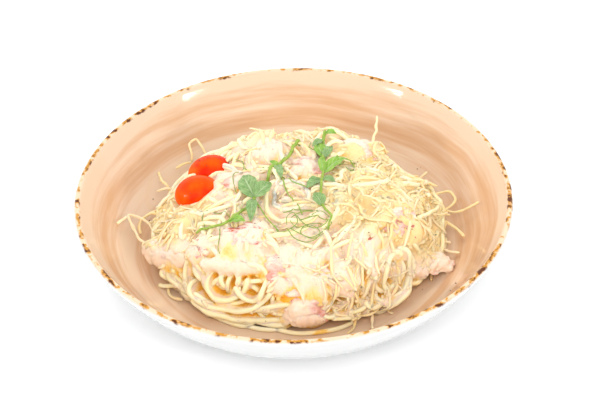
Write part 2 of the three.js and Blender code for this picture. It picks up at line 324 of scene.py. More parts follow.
def closed_rings(rows: int, columns: int) -> list[list[int]]:
    """The faces of rings that follow each other, closed at both ends.

    Args:
        rows: how many rings there are.
        columns: how many points each ring has.

    Returns:
        The faces between the rings, and then fans to two points that follow the rings' own:
        the first ring's middle and the last ring's middle.
    """
    faces = ring_quads(rows, columns).tolist()
    first_middle, last = rows * columns, (rows - 1) * columns
    for a in range(columns):
        b = (a + 1) % columns
        faces.append([first_middle, a, b])
        faces.append([first_middle + 1, last + b, last + a])
    return faces


def tube_mesh(
    strands: list[Strand], sides: int, flat: float = 1.0
) -> tuple[np.ndarray, list[list[int]], dict[str, np.ndarray]]:
    """Skins strands with closed round tubes.

    Args:
        strands: the strands to skin.
        sides: how many sides a tube has.
        flat: the tube's height as a share of its width.

    Returns:
        Points in mm, faces, and the attributes "shade" (one number for each strand) and
        "along" (mm from the strand's start).
    """
    points, faces, shades, along = [], [], [], []
    start = 0
    angles = np.arange(sides) / sides * TURN
    # A rounded end: two rings past the last point, by shares of the radius.
    beyond, ends = np.array([[0.75], [0.45]]), np.array([0.35, 0.8])
    for strand in strands:
        path = strand.path
        tangent = np.gradient(path, axis=0)
        tangent /= np.linalg.norm(tangent, axis=1)[:, None] + 1e-9
        first = path[0] - tangent[0] * strand.radius[0] * beyond
        last = path[-1] + tangent[-1] * strand.radius[-1] * beyond[::-1]
        path = np.vstack([first, path, last])
        tangent = np.vstack([tangent[[0, 0]], tangent, tangent[[-1, -1]]])
        radius = np.concatenate([strand.radius[0] * ends, strand.radius, strand.radius[-1] * ends[::-1]])
        side = np.cross(tangent, [0.0, 0.0, 1.0])
        upright = np.linalg.norm(side, axis=1) < 0.08
        side[upright] = [1.0, 0.0, 0.0]
        side -= tangent * (side * tangent).sum(axis=1)[:, None]
        side /= np.linalg.norm(side, axis=1)[:, None]
        up = np.cross(side, tangent)
        ring = (
            side[:, None, :] * np.cos(angles)[None, :, None]
            + up[:, None, :] * np.sin(angles)[None, :, None] * flat
        )
        rings = path[:, None, :] + ring * radius[:, None, None]
        count = len(path)
        points.append(rings.reshape(-1, 3))
        faces.extend((ring_quads(count, sides) + start).tolist())
        faces.append((start + np.arange(sides)).tolist())
        faces.append((start + (count - 1) * sides + np.arange(sides)[::-1]).tolist())
        lengths = np.concatenate([[0], np.cumsum(np.linalg.norm(np.diff(path, axis=0), axis=1))])
        along.append(np.repeat(lengths, sides))
        shades.append(np.full(count * sides, strand.shade))
        start += count * sides
    attributes = {"shade": np.concatenate(shades), "along": np.concatenate(along)}
    return np.vstack(points), faces, attributes


def curve_through(points: list[tuple[float, float, float]], step: float) -> np.ndarray:
    """A smooth line through points.

    Args:
        points: the points in mm.
        step: about how far apart the line's points are, in mm.

    Returns:
        (n, 3) line.
    """
    p = np.array([points[0], *points, points[-1]], dtype=float)
    line = []
    for a, b, c, d in zip(p[:-3], p[1:-2], p[2:-1], p[3:]):
        count = max(int(np.linalg.norm(c - b) / step), 2)
        t = (np.arange(count) / count)[:, None]
        line.append(
            b
            + 0.5 * t * (c - a)
            + t**2 * (a - 2.5 * b + 2 * c - 0.5 * d)
            + t**3 * (1.5 * (b - c) + 0.5 * (d - a))
        )
    return np.vstack([*line, p[-1:]])


# ---- Finishes -----------------------------------------------------------------------------


def new_material(name: str) -> tuple[bpy.types.Material, bpy.types.NodeTree, bpy.types.NodeSocket]:
    """An empty node material, its tree, and the place on the object in metres."""
    material = bpy.data.materials.new(name)
    material.use_nodes = True
    material.node_tree.nodes.clear()
    tree = material.node_tree
    return material, tree, add_node(tree, "TexCoord").outputs["Object"]


def finished(material: bpy.types.Material, surface: dict[str, object]) -> bpy.types.Material:
    """Gives a material its surface, from a principled shader's inputs."""
    tree = material.node_tree
    shader = add_node(tree, "BsdfPrincipled", inputs=surface)
    add_node(tree, "OutputMaterial", inputs={"Surface": shader})
    return material


@dataclass(frozen=True)
class BrushedGlaze:
    """Glazed stoneware, thrown and brushed with a peach glaze while it turned.

    The brush leaves rings of thicker and thinner glaze, which show as soft swirls. At the
    lip the glaze runs thin and breaks to iron brown and amber. Outside it is plain white.
    """

    peach: str = "d5ab85"
    peach_deep: str = "cc9c72"
    peach_pale: str = "e3c8ac"
    lip_cream: str = "e4cbaa"
    lip_amber: str = "c88c34"
    lip_brown: str = "5e2e0e"
    outside: str = "cfd0cf"
    stroke_mm: float = 3.4
    break_mm: float = 3.0

    def material(self) -> bpy.types.Material:
        """Builds the glaze, which reads "inward", the mm from the lip's crest down the inside."""
        material, tree, coords = new_material("peach_brushed_stoneware_glaze")
        axes = add_node(tree, "SeparateXYZ", inputs={0: coords})
        x, y = axes.outputs["X"], axes.outputs["Y"]
        flat = add_node(tree, "CombineXYZ", inputs={"X": x, "Y": y})
        radius = add_node(tree, "VectorMath", {"operation": "LENGTH"}, {0: flat}).outputs["Value"]
        unit = add_node(tree, "VectorMath", {"operation": "NORMALIZE"}, {0: flat})
        unit_axes = add_node(tree, "SeparateXYZ", inputs={0: unit})
        wobble = add_node(tree, "TexNoise", inputs={"Vector": coords, "Scale": 9.0, "Detail": 2.0})
        rings = add_node(
            tree, "Math", {"operation": "MULTIPLY_ADD"}, {0: wobble, 1: 9 / self.stroke_mm, 2: 0.0},
        )
        turned = add_node(
            tree, "Math", {"operation": "MULTIPLY_ADD"},
            {0: radius, 1: 1 / (self.stroke_mm * MM), 2: rings},
        )
        around = add_node(tree, "VectorMath", {"operation": "SCALE"}, {0: unit, "Scale": 1.3})
        around_axes = add_node(tree, "SeparateXYZ", inputs={0: around})
        stroke_place = add_node(
            tree,
            "CombineXYZ",
            inputs={"X": turned, "Y": around_axes.outputs["X"], "Z": around_axes.outputs["Y"]},
        )
        strokes = add_node(
            tree,
            "TexNoise",
            inputs={"Vector": stroke_place, "Scale": 0.42, "Detail": 5.0, "Roughness": 0.62},
        )
        inward = add_node(tree, "Attribute", {"attribute_name": "inward"}).outputs["Fac"]
        # Painted light: this ramp makes the wall paler down towards the well, to offset the shade that
        # the heap casts there.
        painted_light_low = add_node(
            tree,
            "MapRange",
            {"interpolation_type": "SMOOTHSTEP"},
            {"Value": inward, "From Min": 14.0, "From Max": 62.0, "To Min": -0.13, "To Max": 0.18},
        )
        thin_at_lip = add_node(
            tree,
            "MapRange",
            {"interpolation_type": "SMOOTHSTEP"},
            {"Value": inward, "From Min": 24.0, "From Max": 5.0, "To Min": 0.0, "To Max": 0.34},
        )
        lip_thinning_and_painted_light = add_node(tree, "Math", {"operation": "ADD"}, {0: painted_light_low, 1: thin_at_lip})
        tone = add_node(tree, "Math", {"operation": "MULTIPLY_ADD"}, {0: strokes, 1: 1.6, 2: lip_thinning_and_painted_light})
        body = add_node(
            tree,
            "ValToRGB",
            {"stops": [(0.48, self.peach_deep), (0.66, self.peach), (0.92, self.peach_pale)]},
            {"Fac": tone},
        )
        # The broken lip: spots of amber and brown, as wide as they are along a real one.
        lip_place = add_node(
            tree,
            "CombineXYZ",
            inputs={
                "X": unit_axes.outputs["X"],
                "Y": unit_axes.outputs["Y"],
                "Z": add_node(tree, "Math", {"operation": "MULTIPLY"}, {0: inward, 1: 0.012}),
            },
        )
        breaks = add_node(
            tree,
            "TexNoise",
            inputs={
                "Vector": lip_place, "Scale": 130 / self.break_mm * 0.55, "Detail": 3.0,
                "Roughness": 0.55,
            },
        )
        patches = add_node(tree, "TexNoise", inputs={"Vector": lip_place, "Scale": 3.2, "Detail": 2.0})
        speckle = add_node(tree, "Math", {"operation": "MULTIPLY_ADD"}, {0: patches, 1: 0.5, 2: -0.28})
        broken = add_node(tree, "Math", {"operation": "ADD"}, {0: breaks, 1: speckle})
        lip = add_node(
            tree,
            "ValToRGB",
            {"stops": [
                (0.44, self.lip_cream), (0.50, self.lip_amber), (0.55, self.lip_amber),
                (0.61, self.lip_brown),
            ]},
            {"Fac": broken},
        )
        crest = add_node(tree, "Math", {"operation": "ABSOLUTE"}, {0: inward})
        ragged = add_node(tree, "Math", {"operation": "MULTIPLY_ADD"}, {0: broken, 1: 5.2, 2: -1.6})
        at_lip = add_node(
            tree,
            "MapRange",
            inputs={
                "Value": add_node(tree, "Math", {"operation": "SUBTRACT"}, {0: ragged, 1: crest}),
                "From Min": -0.8,
                "From Max": 0.4,
            },
        )
        outside = add_node(tree, "MapRange", inputs={"Value": inward, "From Min": -1.2, "From Max": -2.4})
        wall = add_node(
            tree, "Mix", {"data_type": "RGBA"}, {0: outside, 6: body, 7: linear(self.outside)},
        ).outputs[2]
        colour = add_node(tree, "Mix", {"data_type": "RGBA"}, {0: at_lip, 6: wall, 7: lip}).outputs[2]
        ripple = add_node(tree, "Bump", inputs={"Strength": 0.12, "Distance": 0.0006, "Height": strokes})
        return finished(
            material,
            {
                "Base Color": colour, "Roughness": 0.08, "IOR": 1.5, "Specular IOR Level": 0.35,
                "Normal": ripple,
            },
        )


@dataclass(frozen=True)
class SaucedFood:
    """Soft food under cream: light sinks in and comes out warm, and the wet skin gleams.

    Attributes of the mesh drive it: the depth attribute runs from 0 on top of the serving to 1 deep
    between the strands, and the colour darkens and warms along it. That is painted shade and
    painted warm bounce light between the strands, mixed with the yolk sauce's own colour where
    it lies bare at the front left. "shade" differs from strand to strand.
    """

    name: str
    top: str
    middle: str
    deep: str
    other_top: str
    grain_mm: float
    bump_mm: float
    roughness: float = 0.38
    scatter: float = 0.7
    scatter_mm: float = 2.0
    scatter_tint: tuple[float, float, float] = (1.0, 0.86, 0.6)
    gleam: float = 0.12

    def material(self) -> bpy.types.Material:
        """Builds the food's finish."""
        material, tree, coords = new_material(self.name)
        buried = add_node(tree, "Attribute", {"attribute_name": "buried"}).outputs["Fac"]
        shade = add_node(tree, "Attribute", {"attribute_name": "shade"}).outputs["Fac"]
        mottle = add_node(
            tree,
            "TexNoise",
            inputs={"Vector": coords, "Scale": 1 / (5 * MM), "Detail": 3.0},
        )
        spread = add_node(tree, "Math", {"operation": "MULTIPLY_ADD"}, {0: mottle, 1: 0.3, 2: -0.15})
        curds = add_node(
            tree,
            "TexNoise",
            inputs={"Vector": coords, "Scale": 1 / (1.4 * MM), "Detail": 2.0},
        )
        fleck = add_node(tree, "Math", {"operation": "MULTIPLY_ADD"}, {0: curds, 1: 0.5, 2: -0.25})
        # Painted shade: depth under the serving's top, plus random mottle, picks the colour from the top
        # one down to the warm deep one.
        sunk_share = add_node(tree, "Math", {"operation": "ADD"}, {0: buried, 1: spread})
        depth = add_node(tree, "Math", {"operation": "ADD"}, {0: sunk_share, 1: fleck})
        sunk = add_node(
            tree,
            "ValToRGB",
            {"stops": [(0.05, self.top), (0.42, self.middle), (0.85, self.deep)]},
            {"Fac": depth},
        )
        lying = add_node(
            tree,
            "ValToRGB",
            {"stops": [(0.05, self.other_top), (0.42, self.middle), (0.85, self.deep)]},
            {"Fac": depth},
        )
        colour = add_node(tree, "Mix", {"data_type": "RGBA"}, {0: shade, 6: sunk, 7: lying}).outputs[2]
        grain = add_node(
            tree,
            "TexNoise",
            inputs={"Vector": coords, "Scale": 1 / (self.grain_mm * MM), "Detail": 4.0, "Roughness": 0.6},
        )
        skin = add_node(
            tree,
            "Bump",
            inputs={"Strength": 0.5, "Distance": self.bump_mm * MM, "Height": grain},
        )
        wet = add_node(
            tree,
            "MapRange",
            inputs={
                "Value": grain, "From Min": 0.35, "From Max": 0.65, "To Min": self.roughness - 0.1,
                "To Max": self.roughness + 0.12,
            },
        )
        return finished(
            material,
            {
                "Base Color": colour, "Roughness": wet, "IOR": 1.42, "Specular IOR Level": 0.3,
                "Subsurface Weight": self.scatter, "Subsurface Radius": self.scatter_tint,
                "Subsurface Scale": self.scatter_mm * MM, "Coat Weight": self.gleam,
                "Coat Roughness": 0.2, "Normal": skin,
            },
        )


# The middle and deep colours are painted shade: where the food lies deep between the strands it takes
# these darker, warmer colours.
SPAGHETTI = SaucedFood(
    name="boiled_durum_spaghetti_in_cream", top="feeecd", middle="fee4ae", deep="f9c65c",
    other_top="fde9ba", grain_mm=1.6, bump_mm=0.25,
)
YOLK_SAUCE = SaucedFood(
    name="cream_and_yolk_sauce", top="f6dcc6", middle="fadb9c", deep="f6c04a", other_top="f4d9a2",
    grain_mm=1.8, bump_mm=0.8, roughness=0.32,
)
GRATED_CHEESE = SaucedFood(
    name="half_melted_grated_cheese", top="f7deba", middle="f8d090", deep="ecb058",
    other_top="f5d9a2", grain_mm=0.9, bump_mm=0.12, roughness=0.42,
)


@dataclass(frozen=True)
class CreamedBacon:
    """Fried smoked bacon stirred through cream.

    Where the thin pale coat has slid off, the pink lean, its torn fibres and the red cured
    edges show.
    """

    cream: str = "f6dfc8"
    pink: str = "ecc8ba"
    lean: str = "dc9e8e"
    cured: str = "c4624a"
    pink_share: float = 0.5
    red_share: float = 0.1
    seed: float = 0.0

    def material(self) -> bpy.types.Material:
        """Builds the coat over the meat; "cover" is 1 where the mesh holds cream."""
        material, tree, coords = new_material("bacon_in_cream")
        place = add_node(tree, "VectorMath", {"operation": "ADD"}, {0: coords, 1: (self.seed, 0.0, 0.0)})
        broad = add_node(
            tree,
            "TexNoise",
            inputs={"Vector": place, "Scale": 1 / (9 * MM), "Detail": 4.0, "Roughness": 0.6},
        )
        grain = add_node(
            tree,
            "Mapping",
            inputs={0: place, "Rotation": (0.3, 0.5, 9 * self.seed), "Scale": (0.28, 1.0, 1.0)},
        )
        fine = add_node(
            tree,
            "TexNoise",
            inputs={"Vector": grain, "Scale": 1 / (1.5 * MM), "Detail": 4.0},
        )
        cover = add_node(tree, "Attribute", {"attribute_name": "cover"}).outputs["Fac"]
        streaked = add_node(tree, "Math", {"operation": "MULTIPLY_ADD"}, {0: fine, 1: 0.5, 2: broad})
        bare = add_node(tree, "Math", {"operation": "MULTIPLY_ADD"}, {0: cover, 1: -0.35, 2: streaked})
        meat = add_node(
            tree,
            "ValToRGB",
            {"stops": [
                (0.66 - 0.25 * self.pink_share, self.cream),
                (0.80 - 0.25 * self.pink_share, self.pink),
                (1.00 - 0.25 * self.pink_share, self.lean),
            ]},
            {"Fac": bare},
        )
        streak = add_node(tree, "Math", {"operation": "MULTIPLY"}, {0: fine, 1: broad})
        cured = add_node(
            tree,
            "MapRange",
            inputs={
                "Value": streak, "From Min": 0.44 - 0.5 * self.red_share,
                "From Max": 0.52 - 0.5 * self.red_share,
            },
        )
        colour = add_node(
            tree, "Mix", {"data_type": "RGBA"}, {0: cured, 6: meat, 7: linear(self.cured)}
        ).outputs[2]
        skin = add_node(tree, "Bump", inputs={"Strength": 0.6, "Distance": 0.4 * MM, "Height": fine})
        return finished(
            material,
            {
                "Base Color": colour, "Roughness": 0.36, "IOR": 1.42, "Subsurface Weight": 0.3,
                "Subsurface Radius": (1.0, 0.45, 0.3), "Subsurface Scale": 2.5 * MM,
                "Specular IOR Level": 0.35, "Coat Weight": 0.15, "Coat Roughness": 0.18, "Normal": skin,
            },
        )


@dataclass(frozen=True)
class TomatoFlesh:
    """A ripe cherry tomato: taut orange-red skin with a clear gloss, wet red flesh inside."""

    skin: str = "dc2600"
    skin_warm: str = "f86002"
    flesh: str = "c01a04"
    cut: bool = False

    def material(self) -> bpy.types.Material:
        """Builds the skin, or the cut flesh."""
        material, tree, coords = new_material("cherry_tomato_cut" if self.cut else "cherry_tomato_skin")
        blush = add_node(
            tree,
            "TexNoise",
            inputs={"Vector": coords, "Scale": 1 / (11 * MM), "Detail": 2.0},
        )
        stops = [(0.3, self.skin), (0.72, self.skin_warm)]
        if self.cut:
            stops = [(0.35, self.flesh), (0.65, self.skin)]
        colour = add_node(tree, "ValToRGB", {"stops": stops}, {"Fac": blush})
        pores = add_node(
            tree,
            "TexNoise",
            inputs={"Vector": coords, "Scale": 1 / ((1.2 if self.cut else 0.35) * MM)},
        )
        skin = add_node(
            tree,
            "Bump",
            inputs={"Strength": 0.5 if self.cut else 0.05, "Distance": 0.3 * MM, "Height": pores},
        )
        return finished(
            material,
            {
                "Base Color": colour, "Roughness": 0.22 if self.cut else 0.09, "IOR": 1.4,
                "Specular IOR Level": 0.2, "Subsurface Weight": 0.05,
                "Subsurface Radius": (1.0, 0.2, 0.08), "Subsurface Scale": 1.5 * MM, "Normal": skin,
            },
        )


class PeaPart(Enum):
    """The parts of a pea shoot that differ in colour."""

    OLD_LEAF = ("729256", "92ae74")
    YOUNG_LEAF = ("76a036", "98ba56")
    STEM = ("86a440", "a4b85c")
    TENDRIL = ("7c9840", "98ac58")


@dataclass(frozen=True)
class PeaShootSkin:
    """Fresh pea shoot: a waxy bloom greys the green, and pale veins run from the midrib."""

    part: PeaPart
    vein: str = "c6d8ac"

    def material(self) -> bpy.types.Material:
        """Builds the leaf or stem; "across" is the distance from the midrib, -1 to 1."""
        material, tree, coords = new_material("pea_shoot_" + self.part.name.lower())
        cells = add_node(
            tree,
            "TexNoise",
            inputs={"Vector": coords, "Scale": 1 / (2.5 * MM), "Detail": 3.0},
        )
        dark, light = self.part.value
        colour = add_node(tree, "ValToRGB", {"stops": [(0.35, dark), (0.65, light)]}, {"Fac": cells})
        height = cells
        if self.part in (PeaPart.OLD_LEAF, PeaPart.YOUNG_LEAF):
            across = add_node(tree, "Attribute", {"attribute_name": "across"}).outputs["Fac"]
            along = add_node(tree, "Attribute", {"attribute_name": "along"}).outputs["Fac"]
            aside = add_node(tree, "Math", {"operation": "ABSOLUTE"}, {0: across})
            slant = add_node(tree, "Math", {"operation": "MULTIPLY_ADD"}, {0: aside, 1: -0.35, 2: along})
            comb = add_node(tree, "Math", {"operation": "MULTIPLY"}, {0: slant, 1: 38.0})
            wave = add_node(tree, "Math", {"operation": "SINE"}, {0: comb})
            side_vein = add_node(
                tree,
                "MapRange",
                inputs={"Value": wave, "From Min": 0.8, "From Max": 1.0, "To Max": 0.4},
            )
            midrib = add_node(
                tree,
                "MapRange",
                inputs={"Value": aside, "From Min": 0.1, "From Max": 0.03, "To Max": 0.8},
            )
            veins = add_node(tree, "Math", {"operation": "MAXIMUM"}, {0: side_vein, 1: midrib})
            colour = add_node(
                tree, "Mix", {"data_type": "RGBA"}, {0: veins, 6: colour, 7: linear(self.vein)}
            ).outputs[2]
            height = veins
        skin = add_node(tree, "Bump", inputs={"Strength": 0.4, "Distance": 0.15 * MM, "Height": height})
        return finished(
            material,
            {
                "Base Color": colour, "Roughness": 0.42, "IOR": 1.4, "Specular IOR Level": 0.25,
                "Subsurface Weight": 0.25, "Subsurface Radius": (0.5, 1.0, 0.3),
                "Subsurface Scale": 0.8 * MM, "Normal": skin,
            },
        )


@dataclass(frozen=True)
class CrackedPepper:
    """Coarse black pepper: matt wrinkled husk, near black with brown edges."""

    husk: str = "2e241b"
    inside: str = "8a6a45"

    def material(self) -> bpy.types.Material:
        """Builds the pepper's finish."""
        material, tree, coords = new_material("cracked_black_pepper")
        husk = add_node(
            tree, "TexNoise", inputs={"Vector": coords, "Scale": 1 / (0.8 * MM), "Detail": 3.0}
        )
        colour = add_node(
            tree, "ValToRGB", {"stops": [(0.45, self.husk), (0.7, self.inside)]}, {"Fac": husk},
        )
        return finished(material, {"Base Color": colour, "Roughness": 0.7})


@dataclass(frozen=True)
class StudioPaper:
    """Plain white paper sweep: even and matt."""

    white: str = "fbfbfb"

    def material(self) -> bpy.types.Material:
        """Builds the paper."""
        material, tree, coords = new_material("white_paper")
        fibre = add_node(tree, "TexNoise", inputs={"Vector": coords, "Scale": 900.0, "Detail": 2.0})
        colour = add_node(
            tree, "ValToRGB", {"stops": [(0.0, "f8f8f8"), (1.0, self.white)]}, {"Fac": fibre},
        )
        return finished(material, {"Base Color": colour, "Roughness": 0.9})


# ---- Bowl -----------------------------------------------------------------------------------


@dataclass
class CoupeBowl:
    """The wide bowl: a flat well that curves up into an open wall with a rounded lip."""

    rim_radius: float = 130.0
    wall_height: float = 51.2
    wall_start: float = 58.0
    wall_curve: float = 2.8
    floor_thickness: float = 5.0
    rim_thickness: float = 4.0
    foot_outer: float = 62.0
    foot_inner: float = 56.0
    foot_height: float = 2.5
    wall_steps: int = 60
    lip_steps: int = 12
    turns: int = 288

    def outside(self, radius: np.ndarray) -> np.ndarray:
        """The height of the wall's outer face at a radius."""
        rise = (radius - self.wall_start) / (self.rim_radius - self.wall_start)
        return self.foot_height + (self.wall_height - self.foot_height) * (
            np.clip(rise, 0, None) ** self.wall_curve
        )

    def inside_line(self) -> np.ndarray:
        """The inner face's line from the lip down to the well, one wall in from the outside."""
        share = np.linspace(1, 0, self.wall_steps)
        radius = self.wall_start + share * (self.rim_radius - self.wall_start)
        slope = np.gradient(self.outside(radius), radius)
        thickness = self.floor_thickness + share * (self.rim_thickness - self.floor_thickness)
        lean = np.hypot(1, slope)
        return np.column_stack(
            [radius - thickness * slope / lean, self.outside(radius) + thickness / lean]
        )

    def profile(self) -> tuple[np.ndarray, int]:
        """The closed outline from the axis under the foot round to the axis in the well.

        Returns:
            (n, 2) radii and heights, and the number of the point on the lip's crest.
        """
        inside = self.inside_line()
        radius = np.linspace(self.foot_outer, self.rim_radius, self.wall_steps)
        outer = np.column_stack([radius, self.outside(radius)])
        middle = (outer[-1] + inside[0]) / 2
        arm = outer[-1] - middle
        lip = []
        for step in range(1, self.lip_steps):
            turn = math.pi * step / self.lip_steps
            cos, sin = math.cos(turn), math.sin(turn)
            lip.append(middle + [arm[0] * cos - arm[1] * sin, arm[0] * sin + arm[1] * cos])
        half_edge = 0.5
        foot = [
            [0, self.foot_height],
            [self.foot_inner - half_edge, self.foot_height],
            [self.foot_inner, self.foot_height - half_edge],
            [self.foot_inner + half_edge, 0],
            [self.foot_outer - half_edge, 0],
            [self.foot_outer, half_edge],
        ]
        well = [[inside[-1, 0] * share, inside[-1, 1]] for share in (0.75, 0.5, 0.25, 0)]
        points = np.vstack([foot, outer, lip, inside, well])
        return points, int(points[:, 1].argmax())

    def build(self) -> None:
        """Turns the profile and glazes it."""
        profile, crest = self.profile()
        steps = np.linalg.norm(np.diff(profile, axis=0), axis=1)
        length = np.concatenate([[0], np.cumsum(steps)])
        inward = length - length[crest]
        angle = np.arange(self.turns) / self.turns * TURN
        rings = profile[1:-1]
        points = np.stack(
            [
                rings[:, :1] * np.cos(angle), rings[:, :1] * np.sin(angle),
                np.repeat(rings[:, 1:], self.turns, axis=1),
            ],
            axis=-1,
        ).reshape(-1, 3)
        points = np.vstack([points, [0, 0, profile[0, 1]], [0, 0, profile[-1, 1]]])
        faces = [[face[0], *face[:0:-1]] for face in closed_rings(len(rings), self.turns)]
        along = np.concatenate([np.repeat(inward[1:-1], self.turns), inward[[0, -1]]])
        bowl = make_piece(
            "bowl_glazed", points, faces, [BrushedGlaze().material()],
            {"inward": along},
        )
        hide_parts("bowl")


# ---- Spaghetti ------------------------------------------------------------------------------


@dataclass(frozen=True)
class Nest:
    """Strands that wind round one place, as a fork leaves them."""

    x: float
    y: float
    inner: float
    outer: float
    strands: int
    longest: float = 260.0
    last: bool = False


@dataclass(frozen=True)
class Loop:
    """Part of a turn that one strand makes: an oval arc on the heap's unrolled skin.

    The angles are in degrees, and the arc opens out a little as it goes.
    """

    u: float
    v: float
    half_u: float
    half_v: float
    start: float
    sweep: float
    opens: float = 0.1

    def route(self, step: float) -> np.ndarray:
        """The arc's line, with points about a step apart."""
        girth = math.radians(abs(self.sweep)) * (self.half_u + self.half_v) / 2
        share = np.linspace(-1, 1, max(int(girth / step), 8))
        angle = np.radians(self.start + self.sweep * (share + 1) / 2)
        grown = 1 + self.opens * share
        u = self.u + self.half_u * grown * np.cos(angle)
        v = self.v + self.half_v * grown * np.sin(angle)
        return np.column_stack([u, v])


@dataclass
class HeapSkin:
    """The heap's skin and the bowl around it, unrolled flat from the crown outwards.

    A place on it is (u, v, h): u and v lie in the direction from the crown, as far out as
    the way down the flank is long, and h is how far it stands off the skin.
    """

    radii: np.ndarray
    heights: np.ndarray
    normals: np.ndarray
    feet: np.ndarray
    step: float

    @classmethod
    def over(cls, heap: Relief, bowl: Relief, edge: np.ndarray, step: float = 0.5) -> "HeapSkin":
        """Follows the heap down its flank and on over the bowl, in every direction.

        Args:
            heap: the heap's relief.
            bowl: the bowl's relief.
            edge: the heap's radius in each direction, evenly round.
            step: the distance between stations on the way down, in mm.

        Returns:
            The unrolled skin.
        """
        outside = Relief()
        outside.heights = np.maximum(heap.heights, bowl.heights)
        outside = outside.blurred(1.0)
        directions = len(edge)
        angle = np.arange(directions) / directions * TURN
        reach, spacing, longest = 126.0, 0.25, 150.0
        out = np.arange(0, reach, spacing)
        stations = np.arange(0, longest, step)
        radii = np.zeros((directions, len(stations)))
        heights = np.zeros_like(radii)
        feet = np.zeros(directions)
        for number, turn in enumerate(angle):
            z = outside.at(out * math.cos(turn), out * math.sin(turn))
            way = np.concatenate([[0], np.cumsum(np.hypot(np.diff(out), np.diff(z)))])
            radii[number] = np.interp(stations, way, out)
            heights[number] = np.interp(stations, way, z)
            feet[number] = np.interp(edge[number], out, way)
        bell = np.exp(-np.linspace(-2.2, 2.2, 15) ** 2)
        bell /= bell.sum()
        pad = len(bell) // 2
        for table, kind in ((radii, "odd"), (heights, "even")):
            for number in range(directions):
                row = np.pad(table[number], pad, mode="reflect", reflect_type=kind)
                table[number] = np.convolve(row, bell, mode="valid")
            around = np.pad(table, ((pad, pad), (0, 0)), mode="wrap")
            table[:] = sum(w * around[k : k + directions] for k, w in enumerate(bell))
        points = np.stack(
            [radii * np.cos(angle)[:, None], radii * np.sin(angle)[:, None], heights], axis=-1
        )
        down = np.gradient(points, axis=1)
        along = np.roll(points, -1, axis=0) - np.roll(points, 1, axis=0)
        normals = np.cross(down, along)
        crown = 8
        normals[:, :crown] = normals[:, crown : crown + 1].mean(axis=0)
        normals /= np.linalg.norm(normals, axis=-1, keepdims=True)
        return cls(radii, heights, normals, feet, step)

    def foot(self, angle: np.ndarray) -> np.ndarray:
        """How far out, unrolled, the heap meets the bowl."""
        at = angle / TURN * len(self.feet) % len(self.feet)
        i = at.astype(int)
        t = at - i
        return self.feet[i] * (1 - t) + self.feet[(i + 1) % len(self.feet)] * t

    def place(self, unrolled: np.ndarray) -> np.ndarray:
        """Rolls places (u, v, h) back up round the heap, to points in mm."""
        u, v, h = unrolled.T
        angle = np.arctan2(v, u) % TURN
        directions, stations = self.radii.shape
        along = angle / TURN * directions
        out = np.clip(np.hypot(u, v) / self.step, 0, stations - 1.001)
        i, j = along.astype(int) % directions, out.astype(int)
        s, t = along - along.astype(int), out - j
        k = (i + 1) % directions
        weights = ((1 - s) * (1 - t), s * (1 - t), (1 - s) * t, s * t)
        corners = ((i, j), (k, j), (i, j + 1), (k, j + 1))
        radius = sum(w * self.radii[c] for w, c in zip(weights, corners))
        height = sum(w * self.heights[c] for w, c in zip(weights, corners))
        normal = sum(w[:, None] * self.normals[c] for w, c in zip(weights, corners))
        normal /= np.linalg.norm(normal, axis=1)[:, None]
        base = np.column_stack([radius * np.cos(angle), radius * np.sin(angle), height])
        return base + normal * h[:, None]

    def unroll(self, points: np.ndarray) -> np.ndarray:
        """Finds where points lie on the unrolled skin."""
        directions = len(self.feet)
        angle = np.arctan2(points[:, 1], points[:, 0]) % TURN
        radius = np.hypot(points[:, 0], points[:, 1])
        number = np.rint(angle / TURN * directions).astype(int) % directions
        unrolled = np.zeros_like(points)
        batch = 20000
        for start in range(0, len(points), batch):
            part = slice(start, start + batch)
            rows = number[part]
            dr = radius[part][:, None] - self.radii[rows]
            dz = points[part, 2][:, None] - self.heights[rows]
            nearest = np.hypot(dr, dz).argmin(axis=1)
            pick = np.arange(len(rows))
            normal = self.normals[rows, nearest]
            outward = normal[:, 0] * np.cos(angle[part]) + normal[:, 1] * np.sin(angle[part])
            h = dr[pick, nearest] * outward + dz[pick, nearest] * normal[:, 2]
            way = nearest * self.step
            unrolled[part] = np.column_stack([way * np.cos(angle[part]), way * np.sin(angle[part]), h])
        return unrolled


